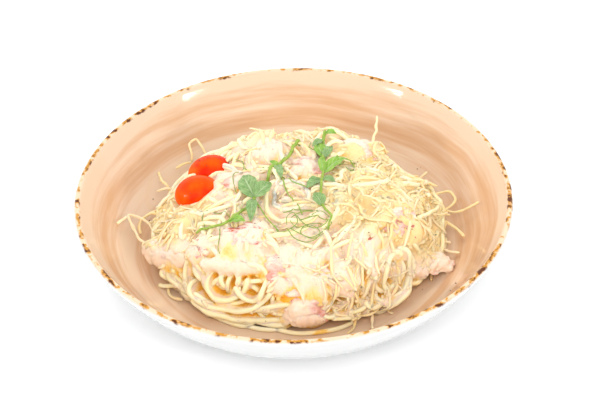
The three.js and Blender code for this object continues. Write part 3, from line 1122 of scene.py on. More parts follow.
@dataclass
class Serving:
    """What the food has in common: the heap's skin, and how high all of it stands.

    "relief" is how far everything laid so far stands off the unrolled skin; "plan" is how
    high it stands in the bowl, seen from above.
    """

    bowl_relief: Relief
    skin: HeapSkin
    relief: Relief
    plan: Relief

    @classmethod
    def from_frame(cls, sunk: float) -> "Serving":
        """Reads the bowl and the heap from the frame.

        Args:
            sunk: how far under the heap's outside the first strands lie, in mm.

        Returns:
            The serving before anything is laid.
        """
        bowl = Relief()
        bowl.add_triangles(*node_mesh("bowl"))
        heap = Relief()
        heap.add_triangles(*node_mesh("pasta_heap"))
        inside = heap.heights > 0
        x, y = heap.grid()
        turn = np.arctan2(y[inside], x[inside]) % TURN
        sectors, directions = 72, 240
        number = (turn / TURN * sectors).astype(int) % sectors
        outline = np.zeros(sectors)
        np.maximum.at(outline, number, np.hypot(x[inside], y[inside]))
        middles = (np.arange(sectors) + 0.5) / sectors * TURN
        edge = np.interp(np.arange(directions) / directions * TURN, middles, outline, period=TURN)
        skin = HeapSkin.over(heap, bowl, edge)
        relief = Relief()
        u, v = relief.grid()
        inward = skin.foot(np.arctan2(v, u) % TURN) - np.hypot(u, v)
        relief.heights = -sunk * smooth_step(inward, 0, 9)
        return cls(bowl, skin, relief, bowl.copy())

    def settled(
        self, strands: list[Strand], start: Relief, target: Relief, spare: float, deepest: float
    ) -> list[Strand]:
        """Lets laid strands sink together until their top meets a target.

        All of them sink by one smooth field, so what crosses over stays over. Stretches
        that end up deep inside are left out, and the rest are rolled up round the heap.

        Args:
            strands: the strands as laid on the unrolled skin.
            start: the relief that the sunken strands are stamped on.
            target: where their smooth top ends up.
            spare: how far above the target they may stand, in mm.
            deepest: how far under the smooth top a stretch can still be seen, in mm.

        Returns:
            The stretches that can be seen, in the bowl.
        """
        spread = 3.5
        sink = self.relief.blurred(spread)
        sink.heights = np.maximum(sink.heights - target.blurred(spread).heights - spare, 0)
        self.relief = start.copy()
        for strand in strands:
            u, v, h = strand.path.T
            h -= sink.at(u, v)
            self.relief.stamp(strand.path, float(strand.radius.mean()))
        top = self.relief.blurred(1.5)
        seen = []
        for strand in strands:
            u, v, h = strand.path.T
            shown = top.at(u, v) - h < deepest
            shown = np.convolve(shown, np.ones(5), mode="same") > 0
            edges = np.flatnonzero(np.diff(np.concatenate([[0], shown, [0]])))
            for first, last in zip(edges[::2], edges[1::2]):
                if last - first > 5:
                    path = self.skin.place(strand.path[first:last])
                    radius = strand.radius[first:last]
                    seen.append(Strand(path, radius, strand.shade, strand.pile))
        for strand in seen:
            self.plan.stamp(strand.path, float(strand.radius.mean()))
        return seen

    def kept_inside(self, u: np.ndarray, v: np.ndarray, margin: float) -> np.ndarray:
        """Bends an unrolled route in where it would leave the heap.

        Args:
            u: the route's u in mm.
            v: the route's v in mm.
            margin: how far inside the heap's foot the route ends up at most.

        Returns:
            (n, 2) route.
        """
        away = np.hypot(u, v) + 1e-6
        limit = self.skin.foot(np.arctan2(v, u) % TURN) - margin
        soft = 0.9
        past = np.maximum(away - soft * limit, 0)
        bent = np.where(
            away > soft * limit,
            soft * limit + (1 - soft) * limit * np.tanh(past / ((1 - soft) * limit) / 2),
            away,
        )
        return np.column_stack([u, v]) * (bent / away)[:, None]

    def lay(self, route: np.ndarray, radius: float, limp: int, sink: float) -> np.ndarray:
        """Lays a strand on the relief and raises the relief by it.

        Args:
            route: (n, 2) unrolled route.
            radius: the strand's radius in mm.
            limp: how many steps the strand spans where it bridges a hollow.
            sink: how far it sinks into what is below it, in mm.

        Returns:
            (n, 3) centre line, unrolled.
        """
        rest = self.relief.rest(route[:, 0], route[:, 1], radius)
        h = rest.copy()
        for _ in range(limp):
            h[1:-1] = np.maximum(rest[1:-1], (h[:-2] + h[2:]) / 2)
        h[1:-1] = (h[:-2] + 2 * h[1:-1] + h[2:]) / 4
        path = np.column_stack([route, h - sink])
        self.relief.stamp(path, radius)
        return path

    def cover(self, points: np.ndarray, faces: list[list[int]]) -> None:
        """Raises both reliefs by a finely meshed piece."""
        halves = [half for face in faces for half in (face[:3], [face[0], *face[2:]])]
        triangles = np.array([half for half in halves if len(half) == 3])
        self.plan.add_triangles(points, triangles)
        self.relief.stamp(self.skin.unroll(points), 0.8)

    def buried(self, points: np.ndarray, top: Relief) -> np.ndarray:
        """How deep points lie under the serving's smooth top: 0 on it, 1 a few mm down.

        Only at the front left, where the sauce is bare, does it reach 1. The food's colour darkens
        and warms with it: painted shade between the strands.

        Args:
            points: (n, 3) points in mm.
            top: the smooth top of the relief.

        Returns:
            One value for each point.
        """
        deep = 2.8
        unrolled = self.skin.unroll(points)
        u, v, h = unrolled.T
        below = top.at(u, v) + 0.35 - h
        return np.clip(below / deep, 0, 1) * (0.82 + 0.18 * self.bare_sauce(u, v))

    def cheesy(self) -> Relief:
        """How much cheese has melted into the sauce at each place, 0 to 1."""
        cheesy = Relief()
        u, v = cheesy.grid()
        right = smooth_step(np.hypot((u - 64) / 56, (v - 6) / 48), 1.1, 0.8)
        left = smooth_step(np.hypot((u + 78) / 30, (v - 4) / 34), 1.15, 0.75)
        back = 0.6 * smooth_step(np.hypot((u - 10) / 60, (v - 60) / 26), 1.1, 0.6)
        cheesy.heights = np.maximum(np.maximum(right, left), back)
        return cheesy

    def bare_spots(self, u: np.ndarray, v: np.ndarray) -> np.ndarray:
        """Where bacon lies open: 1 on it, 0 away from it."""
        spots = (
            (66, -21, 15), (47, -41, 9), (-32, -42, 13), (2, -66, 18), (12, 24, 12), (42, 42, 14),
            (-14, 42, 17), (-37, 16, 12), (8, -82, 14), (-82, -28, 14), (-40, -58, 12),
        )
        open_here = [smooth_step(np.hypot(u - x, v - y), r, 0.6 * r) for x, y, r in spots]
        return np.max(open_here, axis=0)

    @staticmethod
    def bare_sauce(u: np.ndarray, v: np.ndarray) -> np.ndarray:
        """How bare the yolk sauce lies at each place: 1 at the front left, 0 elsewhere."""
        return smooth_step(-u, -8, 26) * smooth_step(-v, 42, 56) * smooth_step(u, -72, -52)


@dataclass
class Spaghetti:
    """Boiled spaghetti, wound in nests and hanging over the heap's edge."""

    radius: float = 1.4
    step: float = 2.1
    sides: int = 7
    nests: tuple[Nest, ...] = (
        Nest(0, 0, 58, 78, 20, 240), Nest(0, 42, 6, 36, 20), Nest(44, 30, 6, 32, 14),
        Nest(-56, 12, 5, 28, 14), Nest(4, -8, 6, 40, 20), Nest(62, -49, 5, 22, 8, 120, last=True),
        Nest(-36, -70, 8, 30, 5, 110, last=True),
    )
    loops: tuple[Loop, ...] = (
        Loop(-66, -62, 14, 19, 125, 150), Loop(-58, -60, 17, 24, 120, 160),
        Loop(-30, -60, 50, 32, 200, 120), Loop(-40, -58, 38, 27, 175, 140),
        Loop(-30, -54, 42, 25, 205, 125), Loop(-42, -60, 29, 19, 160, 175),
        Loop(-38, -60, 22, 14, 150, 205), Loop(-40, -60, 6, 5, -40, 250),
        Loop(-44, -61, 13, 9, 65, 290, 0.16), Loop(-27, -63, 9, 10, 115, -285, 0.16),
        Loop(60, -60, 15, 17, 60, -200), Loop(70, -56, 8, 20, 120, -220),
        Loop(64, -55, 12, 17, 100, -240), Loop(58, -56, 10, 9, 170, 230),
        Loop(62, -52, 6, 11, 80, 320),
    )
    loose: tuple[tuple[tuple[float, float, float], ...], ...] = (
        ((-80, -39, 13), (-75, -40, 14), (-69, -43, 17), (-63, -48, 20), (-55, -54, 20)),
        (
            (-24, -64, 20), (-16, -70, 12), (-8, -75, 9), (2, -78, 9), (15, -77, 9), (28, -73, 9),
            (38, -65, 13),
        ),
        ((-49, -59, 19), (-41, -64, 11), (-30, -70, 9), (-18, -74, 9), (-7, -73, 10), (6, -68, 16)),
        ((-62, -48, 17), (-54, -57, 11), (-42, -66, 9), (-31, -71, 9), (-22, -70, 14)),
        ((70, -38, 17), (66, -47, 11), (58, -56, 9), (48, -62, 10), (40, -62, 16)),
    )
    loop_swell: float = 1.14
    wanderers: int = 16
    flank_levels: int = 22
    flank_strands: int = 6
    strands: list[Strand] = field(default_factory=list)

    def wound(self, rng: np.random.Generator, nest: Nest) -> np.ndarray:
        """The route of one strand round a nest."""
        length = rng.uniform(0.45, 1) * nest.longest
        count = int(length / self.step)
        start_radius = rng.uniform(nest.inner, nest.outer)
        sway = np.cumsum(rng.normal(0, 1, count)) * 0.12
        sway = np.convolve(sway, np.ones(9) / 9, mode="same")
        radius = np.clip(start_radius + sway * 2.2, nest.inner * 0.7, None)
        radius = radius * (1 + 0.16 * np.sin(np.arange(count) * 0.16 + rng.uniform(0, TURN)))
        direction = 1 if rng.random() < 0.8 else -1
        turn = rng.uniform(0, TURN) + direction * np.cumsum(self.step / np.maximum(radius, 4))
        drift = (np.linspace(0, 1, count)[:, None] - 0.3) * rng.normal(0, 7, 2)
        drift = drift + rng.normal(0, 3.2, 2)
        squash = rng.uniform(0.55, 1.15)
        x = nest.x + radius * np.cos(turn) + drift[:, 0]
        y = nest.y + radius * np.sin(turn) * squash + drift[:, 1]
        return np.column_stack([x, y])

    def wandering(self, rng: np.random.Generator) -> np.ndarray:
        """The route of a loose strand that crosses the heap."""
        count = int(rng.uniform(110, 220) / self.step)
        bend = np.convolve(rng.normal(0, 1, count + 14), np.ones(15) / 15, mode="valid")
        heading = rng.uniform(0, TURN) + np.cumsum(bend) * self.step / 9
        start = rng.normal(0, 32, 2)
        x = start[0] + np.cumsum(np.cos(heading)) * self.step
        y = start[1] + np.cumsum(np.sin(heading)) * self.step
        return np.column_stack([x, y])

    def round_flank(self, rng: np.random.Generator, serving: Serving, inside: float) -> np.ndarray:
        """The route of a strand that lies along the heap's flank.

        Args:
            rng: the spaghetti's random numbers.
            serving: the serving it lies on.
            inside: how far above the heap's foot it starts, in mm along the flank.

        Returns:
            (n, 2) unrolled route.
        """
        count = int(rng.uniform(80, 240) / self.step)
        middle = 95.0
        turn = rng.uniform(0, TURN) + np.arange(count) * self.step / middle
        climb = np.convolve(rng.normal(0, 1, count + 24), np.ones(25) / 25, mode="valid")
        lean = rng.normal(0, 0.09) * self.step
        out = serving.skin.foot(turn % TURN) - inside - np.cumsum(climb * 0.9 + lean)
        out = np.convolve(np.pad(out, 4, mode="edge"), np.ones(9) / 9, mode="valid")
        return np.column_stack([out * np.cos(turn), out * np.sin(turn)])

    def lay(self, serving: Serving) -> None:
        """Lays every strand on the serving, and lets them settle."""
        rng = np.random.default_rng(41)
        base = serving.relief.copy()
        routes = [
            self.round_flank(rng, serving, inside)
            for inside in np.repeat(np.linspace(0, 44, self.flank_levels), self.flank_strands)
        ]
        nested = [
            self.wound(rng, nest)
            for nest in self.nests
            for _ in range(nest.strands)
            if not nest.last
        ]
        nested += [self.wandering(rng) for _ in range(self.wanderers)]
        routes += [nested[number] for number in rng.permutation(len(nested))]
        for nest in self.nests:
            if nest.last:
                routes += [self.wound(rng, nest) for _ in range(nest.strands)]
        routes += [loop.route(0.7 * self.step) for loop in self.loops]
        for number, route in enumerate(routes):
            route = serving.kept_inside(route[:, 0], route[:, 1], rng.uniform(-1.5, 4))
            radius = self.radius * rng.uniform(0.9, 1.1)
            if number >= len(routes) - len(self.loops):
                radius *= self.loop_swell
            path = serving.lay(route, radius, 9, 0.35)
            swell = 1 + 0.05 * np.sin(np.arange(len(path)) * 0.7 + rng.uniform(0, TURN))
            self.strands.append(Strand(path, radius * swell, rng.random()))
        flat = Relief()
        flat.heights[:] = 0
        base.heights -= 1
        self.strands = serving.settled(self.strands, base, flat, 0.5, 4.5)
        for through in self.loose:
            line = curve_through(list(through), self.step)
            rest = serving.bowl_relief.rest(line[:, 0], line[:, 1], self.radius)
            line[:, 2] = np.maximum(line[:, 2], rest)
            self.strands.append(Strand(line, np.full(len(line), self.radius), rng.random()))
            serving.plan.stamp(line, self.radius)

    def build(self, serving: Serving, top: Relief) -> None:
        """Skins the strands and dresses them."""
        half = len(self.strands) // 2
        material = SPAGHETTI.material()
        for name, strands in (
            ("spaghetti_first_laid", self.strands[:half]),
            ("spaghetti_last_laid", self.strands[half:]),
        ):
            points, faces, attributes = tube_mesh(strands, self.sides)
            attributes["buried"] = serving.buried(points, top)
            make_piece(name, points, faces, [material], attributes)


@dataclass
class SauceBed:
    """Cream and yolk sauce among the strands, down to the bowl: one closed body."""

    rings: int = 186
    sectors: int = 500
    under_rings: int = 6
    hidden_gap: float = 0.4

    def film(self, serving: Serving, cheesy: np.ndarray) -> Relief:
        """How far the sauce's top stands off the skin: close under what lies in it.

        Where cheese has melted into it, it stands higher and has small pits.

        Args:
            serving: the serving so far.
            cheesy: how much melted cheese there is in each cell, 0 to 1.

        Returns:
            The sauce's own relief.
        """
        film = serving.relief.blurred(0.8)
        smooth = serving.relief.blurred(2.4)
        u, v = film.grid()
        bare = serving.bare_sauce(u, v)
        flat = np.column_stack([u.ravel(), v.ravel()])
        lumps, uneven, fine, holes = (
            waves(flat, size, seed).reshape(u.shape)
            for size, seed in ((9.0, 14), (4.5, 15), (2.2, 17), (3.4, 16))
        )
        crown = smooth_step(np.hypot(u, v), 92, 60)
        covered = (1 - 0.5 * serving.bare_spots(u, v)) * np.maximum(cheesy, crown)
        covered *= 1 - 0.85 * bare
        film.heights += 0.75 * covered * (smooth.heights - film.heights)
        film.heights += covered * (1.4 + 0.7 * lumps) + 0.3 * uneven + 0.2 * fine
        film.heights -= 0.3 - 0.35 * bare
        pits = smooth_step(holes, 0.95, 1.5)
        film.heights -= pits * (0.6 + 1.7 * covered)
        return film

    def build(self, serving: Serving, top: Relief) -> Relief:
        """Shapes the sauce's top under the food, and closes it over the bowl.

        Args:
            serving: the serving so far.
            top: the smooth top of the serving.

        Returns:
            The sauce's own relief, which later food rests on.
        """
        cheesy = serving.cheesy()
        film = self.film(serving, cheesy.heights)
        angle = np.arange(self.sectors) / self.sectors * TURN
        edge = serving.skin.foot(angle) - 0.8
        edge = edge + 1.2 * waves(np.column_stack([np.cos(angle), np.sin(angle)]) * 80, 9, 5)
        share = np.linspace(0, 1, self.rings + 1)[1:]
        u = (share[:, None] * edge * np.cos(angle)).ravel()
        v = (share[:, None] * edge * np.sin(angle)).ravel()
        top_points = serving.skin.place(np.column_stack([u, v, film.at(u, v)]))
        floor = serving.bowl_relief.at(top_points[:, 0], top_points[:, 1]) + self.hidden_gap
        top_points[:, 2] = np.maximum(top_points[:, 2], floor)
        rim = top_points[-self.sectors :]
        under = 1 - np.arange(1, self.under_rings) / self.under_rings
        under_points = (under[:, None, None] * rim[None]).reshape(-1, 3)
        under_points[:, 2] = self.hidden_gap + serving.bowl_relief.at(
            under_points[:, 0], under_points[:, 1]
        )
        points = np.vstack([top_points, under_points])
        middle = np.array([0.0])
        well = serving.bowl_relief.at(middle, middle)[0] + self.hidden_gap
        crown = serving.skin.place(np.array([[0.0, 0.0, film.at(middle, middle)[0]]]))
        points = np.vstack([points, crown, [0, 0, well]])
        faces = closed_rings(self.rings + self.under_rings - 1, self.sectors)
        attributes = {
            "buried": serving.buried(points, top),
            "shade": cheesy.at(*serving.skin.unroll(points)[:, :2].T),
        }
        material = YOLK_SAUCE.material()
        piece = make_piece("cream_sauce", points, faces, [material], attributes)
        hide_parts("pasta_heap")
        ball = 0.8
        serving.plan.stamp(top_points - [0, 0, ball], ball)
        return film


@dataclass
class CheeseCurds:
    """Short bits of cheese and curds that stick out of the sauce they melt into."""

    curds: int = 1500
    rows: int = 6
    sectors: int = 9
    reach: float = 98.0

    def curd(self, rng: np.random.Generator) -> np.ndarray:
        """One lumpy bit, lying flat: (n, 3) points round its middle."""
        long, wide, thick = rng.uniform(0.9, 2.7), rng.uniform(0.7, 1.5), rng.uniform(0.6, 1.1)
        polar = np.arange(1, self.rows)[:, None] / self.rows * math.pi
        angle = np.arange(self.sectors)[None, :] / self.sectors * TURN
        x = long * np.sin(polar) * np.cos(angle)
        y = wide * np.sin(polar) * np.sin(angle)
        z = thick * np.cos(polar) + 0 * angle
        ring = np.stack([x, y, z], axis=-1).reshape(-1, 3)
        points = np.vstack([ring, [0, 0, thick], [0, 0, -thick]])
        points *= 1 + 0.16 * waves(points, 1.3, int(rng.integers(10000)), 6)[:, None]
        points[:, 1] += rng.normal(0, 0.16) * points[:, 0] ** 2 / long
        turn = rng.uniform(0, TURN)
        cos, sin = math.cos(turn), math.sin(turn)
        return points @ np.array([[cos, sin, 0], [-sin, cos, 0], [0, 0, 1]])

    def faces(self) -> np.ndarray:
        """The triangles of one bit."""
        i = np.arange(self.rows - 2)[:, None] * self.sectors
        j = np.arange(self.sectors)[None, :]
        k = (j + 1) % self.sectors
        one = np.stack([i + j, i + self.sectors + j, i + k], axis=-1).reshape(-1, 3)
        two = np.stack([i + k, i + self.sectors + j, i + self.sectors + k], axis=-1)
        count = (self.rows - 1) * self.sectors
        j, k = j.ravel(), k.ravel()
        top = np.column_stack([np.full(self.sectors, count), j, k])
        low = (self.rows - 2) * self.sectors
        bottom = np.column_stack([np.full(self.sectors, count + 1), low + k, low + j])
        return np.vstack([one, two.reshape(-1, 3), top, bottom])

    def build(self, serving: Serving, film: Relief, top: Relief, clear_of: list["TomatoHalf"]) -> None:
        """Strews the bits where the sauce is thick.

        Args:
            serving: the serving they lie on.
            film: the sauce's own relief.
            top: the smooth top of the serving.
            clear_of: the tomatoes, which lie on top.
        """
        rng = np.random.default_rng(23)
        cheesy = serving.cheesy()
        one = self.faces()
        points, faces, shades = [], [], []
        while len(points) < self.curds:
            angle, away = rng.uniform(0, TURN), self.reach * math.sqrt(rng.random())
            u, v = np.array([away * math.cos(angle)]), np.array([away * math.sin(angle)])
            share = max(cheesy.at(u, v)[0], 0.45) * (1 - 0.7 * serving.bare_spots(u, v)[0])
            share *= 1 - 0.75 * serving.bare_sauce(u, v)[0]
            curd = self.curd(rng)
            shade = rng.random()
            inside = serving.skin.foot(np.array([angle]))[0] - away > 5
            if rng.random() > share or not inside:
                continue
            h = max(film.at(u, v)[0], serving.relief.at(u, v)[0] - 0.9) + rng.uniform(-0.5, 0.25)
            placed = serving.skin.place(curd + [u[0], v[0], h])
            if any(tomato.over(placed) for tomato in clear_of):
                continue
            faces.append(one + len(points) * len(curd))
            shades.append(np.full(len(curd), cheesy.at(u, v)[0] * (0.6 + 0.4 * shade)))
            points.append(placed)
        placed = np.vstack(points)
        attributes = {"buried": serving.buried(placed, top), "shade": np.concatenate(shades)}
        material = GRATED_CHEESE.material()
        piece = make_piece(
            "cheese_curds", placed, np.vstack(faces).tolist(), [material], attributes
        )
        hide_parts("grated_cheese_right")


# ---- Bacon ----------------------------------------------------------------------------------


@dataclass
class BaconPieces:
    """Pieces of bacon in cream: each CAD solid with torn fibres, lumps and a coat of sauce."""

    voxel: float = 0.65
    looks: dict[str, tuple[float, float]] = field(
        default_factory=lambda: {
            "bacon_front": (0.85, 0.1), "bacon_back_left": (0.4, 0.0),
            "bacon_top_centre": (0.85, 0.05), "bacon_top_right": (0.85, 0.05),
            "bacon_left": (0.1, 0.02), "bacon_centre_left": (1.15, 0.3),
            "sauce_strip_left": (0.0, 0.0), "bacon_centre": (0.9, 0.15), "bacon_right": (1.15, 0.3),
            "bacon_right_slab": (0.2, 0.05), "bacon_low_right": (0.5, 0.05),
            "bacon_upper_left": (0.9, 0.1), "bacon_left_red": (0.6, 0.3),
            "bacon_small_right": (0.7, 0.8),
        }
    )

    def torn(self, node: str, seed: int) -> tuple[np.ndarray, list[list[int]], np.ndarray]:
        """Remeshes a CAD solid finely, and roughens it as torn meat under a coat.

        Args:
            node: the CAD node.
            seed: picks the piece's own lumps.

        Returns:
            Points in mm, faces, and how much cream covers each point.
        """
        source = bpy.data.objects.new("remeshed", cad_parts[node].data.copy())
        bpy.context.scene.collection.objects.link(source)
        remesh = source.modifiers.new("even", "REMESH")
        remesh.mode = "VOXEL"
        remesh.voxel_size = self.voxel * MM
        soften = source.modifiers.new("soft", "SMOOTH")
        soften.iterations = 6
        graph = bpy.context.evaluated_depsgraph_get()
        mesh = bpy.data.meshes.new_from_object(source.evaluated_get(graph))
        bpy.data.objects.remove(source)
        points = np.array([v.co for v in mesh.vertices]) / MM
        normals = np.array([v.normal for v in mesh.vertices])
        faces = [list(p.vertices) for p in mesh.polygons]
        bpy.data.meshes.remove(mesh)
        along = np.array([0.35, 1.25, 1.25])
        lumps = waves(points, 8, 100 + seed)
        fibres = waves(points * along, 2.6, 200 + seed)
        crumbs = waves(points, 1.7, 300 + seed)
        cover = np.clip(0.5 + 0.5 * waves(points, 9, 400 + seed) + 0.25 * normals[:, 2], 0, 1)
        bare = 1 - cover
        lift = 0.9 * lumps + (0.4 + bare) * (0.6 * fibres + 0.5 * crumbs) + 0.3 * cover
        return points + normals * lift[:, None], faces, cover

    def build(self, serving: Serving) -> None:
        """Builds every piece and lays it on the serving."""
        for seed, (node, (pink, red)) in enumerate(self.looks.items()):
            points, faces, cover = self.torn(node, seed)
            finish = CreamedBacon(pink_share=pink, red_share=red, seed=0.31 * seed)
            piece = make_piece(
                node + "_sauced", points, faces, [finish.material()], {"cover": cover}
            )
            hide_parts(node)
            serving.cover(points, faces)


# ---- Cherry tomato --------------------------------------------------------------------------


@dataclass
class TomatoHalf:
    """Half a cherry tomato on its cut."""

    node: str
    at: tuple[float, float, float]
    turn: float
    lean: tuple[float, float]
    half: tuple[float, float, float] = (13.7, 10.6, 10.2)
    rings: int = 40
    sectors: int = 72

    def placed(self) -> Matrix:
        """The half's place in the bowl."""
        turns = (
            Matrix.Rotation(math.radians(self.turn), 4, "Z")
            @ Matrix.Rotation(math.radians(self.lean[1]), 4, "Y")
            @ Matrix.Rotation(math.radians(self.lean[0]), 4, "X")
        )
        return Matrix.Translation(self.at) @ turns

    def over(self, path: np.ndarray) -> bool:
        """Whether a path passes under the tomato, seen from above."""
        return bool((np.hypot(path[:, 0] - self.at[0], path[:, 1] - self.at[1]) < 12).any())

    def build(self, serving: Serving) -> None:
        """Shapes the dome and the cut, and lays them on the serving."""
        angle = np.arange(self.sectors) / self.sectors * TURN
        rows = []
        for step in range(1, self.rings + 1):
            polar = step / self.rings * math.pi / 2
            rows.append((math.sin(polar), math.cos(polar) ** 0.94 if step < self.rings else 0))
        cut_steps = 10
        for step in range(1, cut_steps):
            share = 1 - step / cut_steps
            bulge = 0.035 * math.sin(share * math.pi * 3)
            rows.append((share * 0.985, -0.045 + bulge))
        width = np.array([r[0] for r in rows])[:, None]
        height = np.array([r[1] for r in rows])[:, None]
        a, b, c = self.half
        dimple = 1 + 0.012 * np.cos(3 * angle + 0.6)
        points = np.stack(
            [
                a * width * np.cos(angle) * dimple, b * width * np.sin(angle) * dimple,
                c * height + 0 * angle,
            ],
            axis=-1,
        ).reshape(-1, 3)
        points = np.vstack([points, [0, 0, c], [0, 0, -0.045 * c]])
        turned = self.placed()
        points = np.array([turned @ Vector(p) for p in points])
        faces = closed_rings(len(rows), self.sectors)
        cut = np.arange(len(rows) - 1) >= self.rings
        material_of = np.concatenate([np.repeat(cut, self.sectors), np.tile([0, 1], self.sectors)])
        piece = make_piece(
            self.node + "_ripe", points, faces,
            [TomatoFlesh().material(), TomatoFlesh(cut=True).material()],
            face_material=material_of,
        )
        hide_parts(self.node)
        serving.cover(points, faces)


# ---- Grated cheese --------------------------------------------------------------------------


@dataclass(frozen=True)
class Drift:
    """A place where grated cheese fell: a rounded outline and how much lies there."""

    x: float
    y: float
    radii: tuple[float, ...]
    shreds: int
    longest: float = 30.0

    def reach(self, angle: float) -> float:
        """The drift's radius in a direction."""
        count = len(self.radii)
        at = angle / TURN * count % count
        i = int(at)
        t = at - i
        return self.radii[i % count] * (1 - t) + self.radii[(i + 1) % count] * t


@dataclass
class GratedCheese:
    """Long shreds of hard cheese, half melted together, over the right and the left."""

    step: float = 1.5
    sides: int = 6
    right: Drift = Drift(56, 3, (42, 36, 36, 38, 30, 31, 42, 38), 210)
    left: Drift = Drift(-70, -6, (14, 18, 28, 28, 24, 26, 22, 16), 100, 26)
    front: Drift = Drift(42, -64, (34, 24, 18, 22, 28, 22, 24, 34), 80, 28)
    thin: Drift = Drift(10, 10, (72, 74, 60, 60, 66, 50, 50, 66), 70, 24)
    strays: tuple[tuple[tuple[float, float, float], ...], ...] = (
        ((48, 44, 47), (50, 52, 49), (52, 60, 50), (54, 76, 51)),
        ((85, 53, 23), (80, 46, 24), (74, 28, 31)),
        (
            (84, 24, 20), (87, 27, 25), (93, 29, 26), (97, 28, 27), (100, 22, 27), (98, 18, 25),
            (93, 14, 24), (86, 16, 20),
        ),
        ((112, 6, 36), (106, 7, 31), (100, 8, 27), (94, 12, 25), (88, 18, 26), (84, 26, 21)),
        ((86, 10, 21), (90, 3, 25), (95, 1, 24), (99, -5, 24), (102, -12, 25)),
        ((84, -3, 23), (86, -9, 21), (89, -14, 19), (92, -19, 19), (98, -24, 22)),
        ((76, -22, 24), (79, -24, 19), (81, -29, 15), (81, -38, 13)),
        ((79, -15, 25), (87, -10, 20), (94, -11, 19)),
        ((68, 58, 22), (73, 48, 25), (79, 49, 23)),
        ((-107, 1, 29), (-104, 6, 28), (-101, 11, 27), (-93, 9, 25), (-87, 4, 24), (-80, 5, 22)),
        ((-102, 9, 28), (-99, 3, 26), (-95, -5, 24), (-89, -13, 24), (-84, -8, 18)),
        ((-94, 10, 22), (-90, 17, 23), (-84, 20, 23), (-78, 27, 18)),
        ((-94, 2, 20), (-95, 6, 22), (-93, 13, 23), (-89, 16, 24), (-84, 15, 24), (-79, 22, 18)),
        ((-66, 71, 22), (-66, 72, 28), (-67, 78, 31), (-63, 81, 32), (-60, 78, 29), (-56, 75, 22)),
        ((-75, 60, 25), (-70, 62, 27), (-66, 68, 23)),
        ((-86, 54, 26), (-84, 48, 26), (-80, 41, 26), (-78, 40, 20)),
        ((-86, 39, 23), (-79, 39, 25), (-74, 42, 18)),
        ((-79, -22, 15), (-76, -28, 15), (-69, -36, 18)),
        ((-75, -41, 12), (-73, -47, 12), (-67, -50, 12)),
        ((44, -78, 9), (44, -73, 11), (44, -66, 15)),
        ((30, -80, 9), (34, -73, 11), (36, -63, 15)),
        ((56, -64, 10), (53, -60, 13), (49, -54, 20)),
    )
    laid_shreds: dict[str, list[Strand]] = field(
        default_factory=lambda: {"right": [], "left": [], "thin": []}
    )

    def scattered(self, rng: np.random.Generator, drift: Drift, heading: float | None) -> Strand:
        """Picks one shred's route in a drift, flat for now.

        Args:
            rng: the drift's random numbers.
            drift: where the shred falls.
            heading: the direction most shreds hang in, or None for any.

        Returns:
            The shred.
        """
        angle = rng.uniform(0, TURN)
        away = drift.reach(angle) * math.sqrt(rng.random())
        length = rng.uniform(0.3, 1) * drift.longest
        count = max(int(length / self.step), 5)
        bend = rng.normal(0, 0.035) + np.cumsum(rng.normal(0, 0.045, count))
        first = rng.uniform(0, TURN) if heading is None else heading + rng.normal(0, 0.6)
        turn = first + np.cumsum(bend * 0.5)
        x = drift.x + away * math.cos(angle) + np.cumsum(np.cos(turn)) * self.step
        y = drift.y + away * math.sin(angle) + np.cumsum(np.sin(turn)) * self.step
        middle = count // 2
        x -= x[middle] - (drift.x + away * math.cos(angle))
        y -= y[middle] - (drift.y + away * math.sin(angle))
        thick = rng.uniform(0.6, 1.05)
        taper = np.sin(np.linspace(0.35, math.pi - 0.35, count)) ** 0.35
        swell = 1 + 0.18 * np.sin(np.arange(count) * rng.uniform(0.4, 0.9) + rng.uniform(0, TURN))
        return Strand(np.column_stack([x, y, 0 * x]), thick * taper * swell, rng.random())

    def laid(self, rng: np.random.Generator, serving: Serving, shred: Strand) -> Strand:
        """Lays a shred on the serving, unrolled; some of its ends stay up."""
        route = serving.kept_inside(shred.path[:, 0], shred.path[:, 1], rng.uniform(-5, 4))
        path = serving.lay(route, float(shred.radius.mean()), 14, 0.15)
        if rng.random() < 0.3:
            lift = np.linspace(0, 1, len(path)) ** 3 * rng.uniform(0.5, 3.2)
            path[:, 2] += lift if rng.random() < 0.5 else lift[::-1]
        return Strand(path, shred.radius, shred.shade)

    def stray(
        self,
        rng: np.random.Generator,
        serving: Serving,
        through: tuple[tuple[float, float, float], ...],
    ) -> Strand:
        """Shapes one long shred that leaves the heap.

        Args:
            rng: the cheese's random numbers.
            serving: the serving it rests on.
            through: the points it passes through, in mm.

        Returns:
            The shred, clear of the bowl.
        """
        line = curve_through(list(through), 1.1)
        thick = rng.uniform(0.8, 1.05)
        rest = serving.bowl_relief.rest(line[:, 0], line[:, 1], thick)
        line[:, 2] = np.maximum(line[:, 2], rest)
        share = np.linspace(0, 1, len(line))
        kink = waves(line, 6, int(rng.integers(1000)))
        line[:, 0] += 0.5 * kink * np.sin(share * math.pi)
        swell = 1 + 0.14 * waves(line, 4, int(rng.integers(1000)))
        return Strand(line, thick * swell, rng.random())

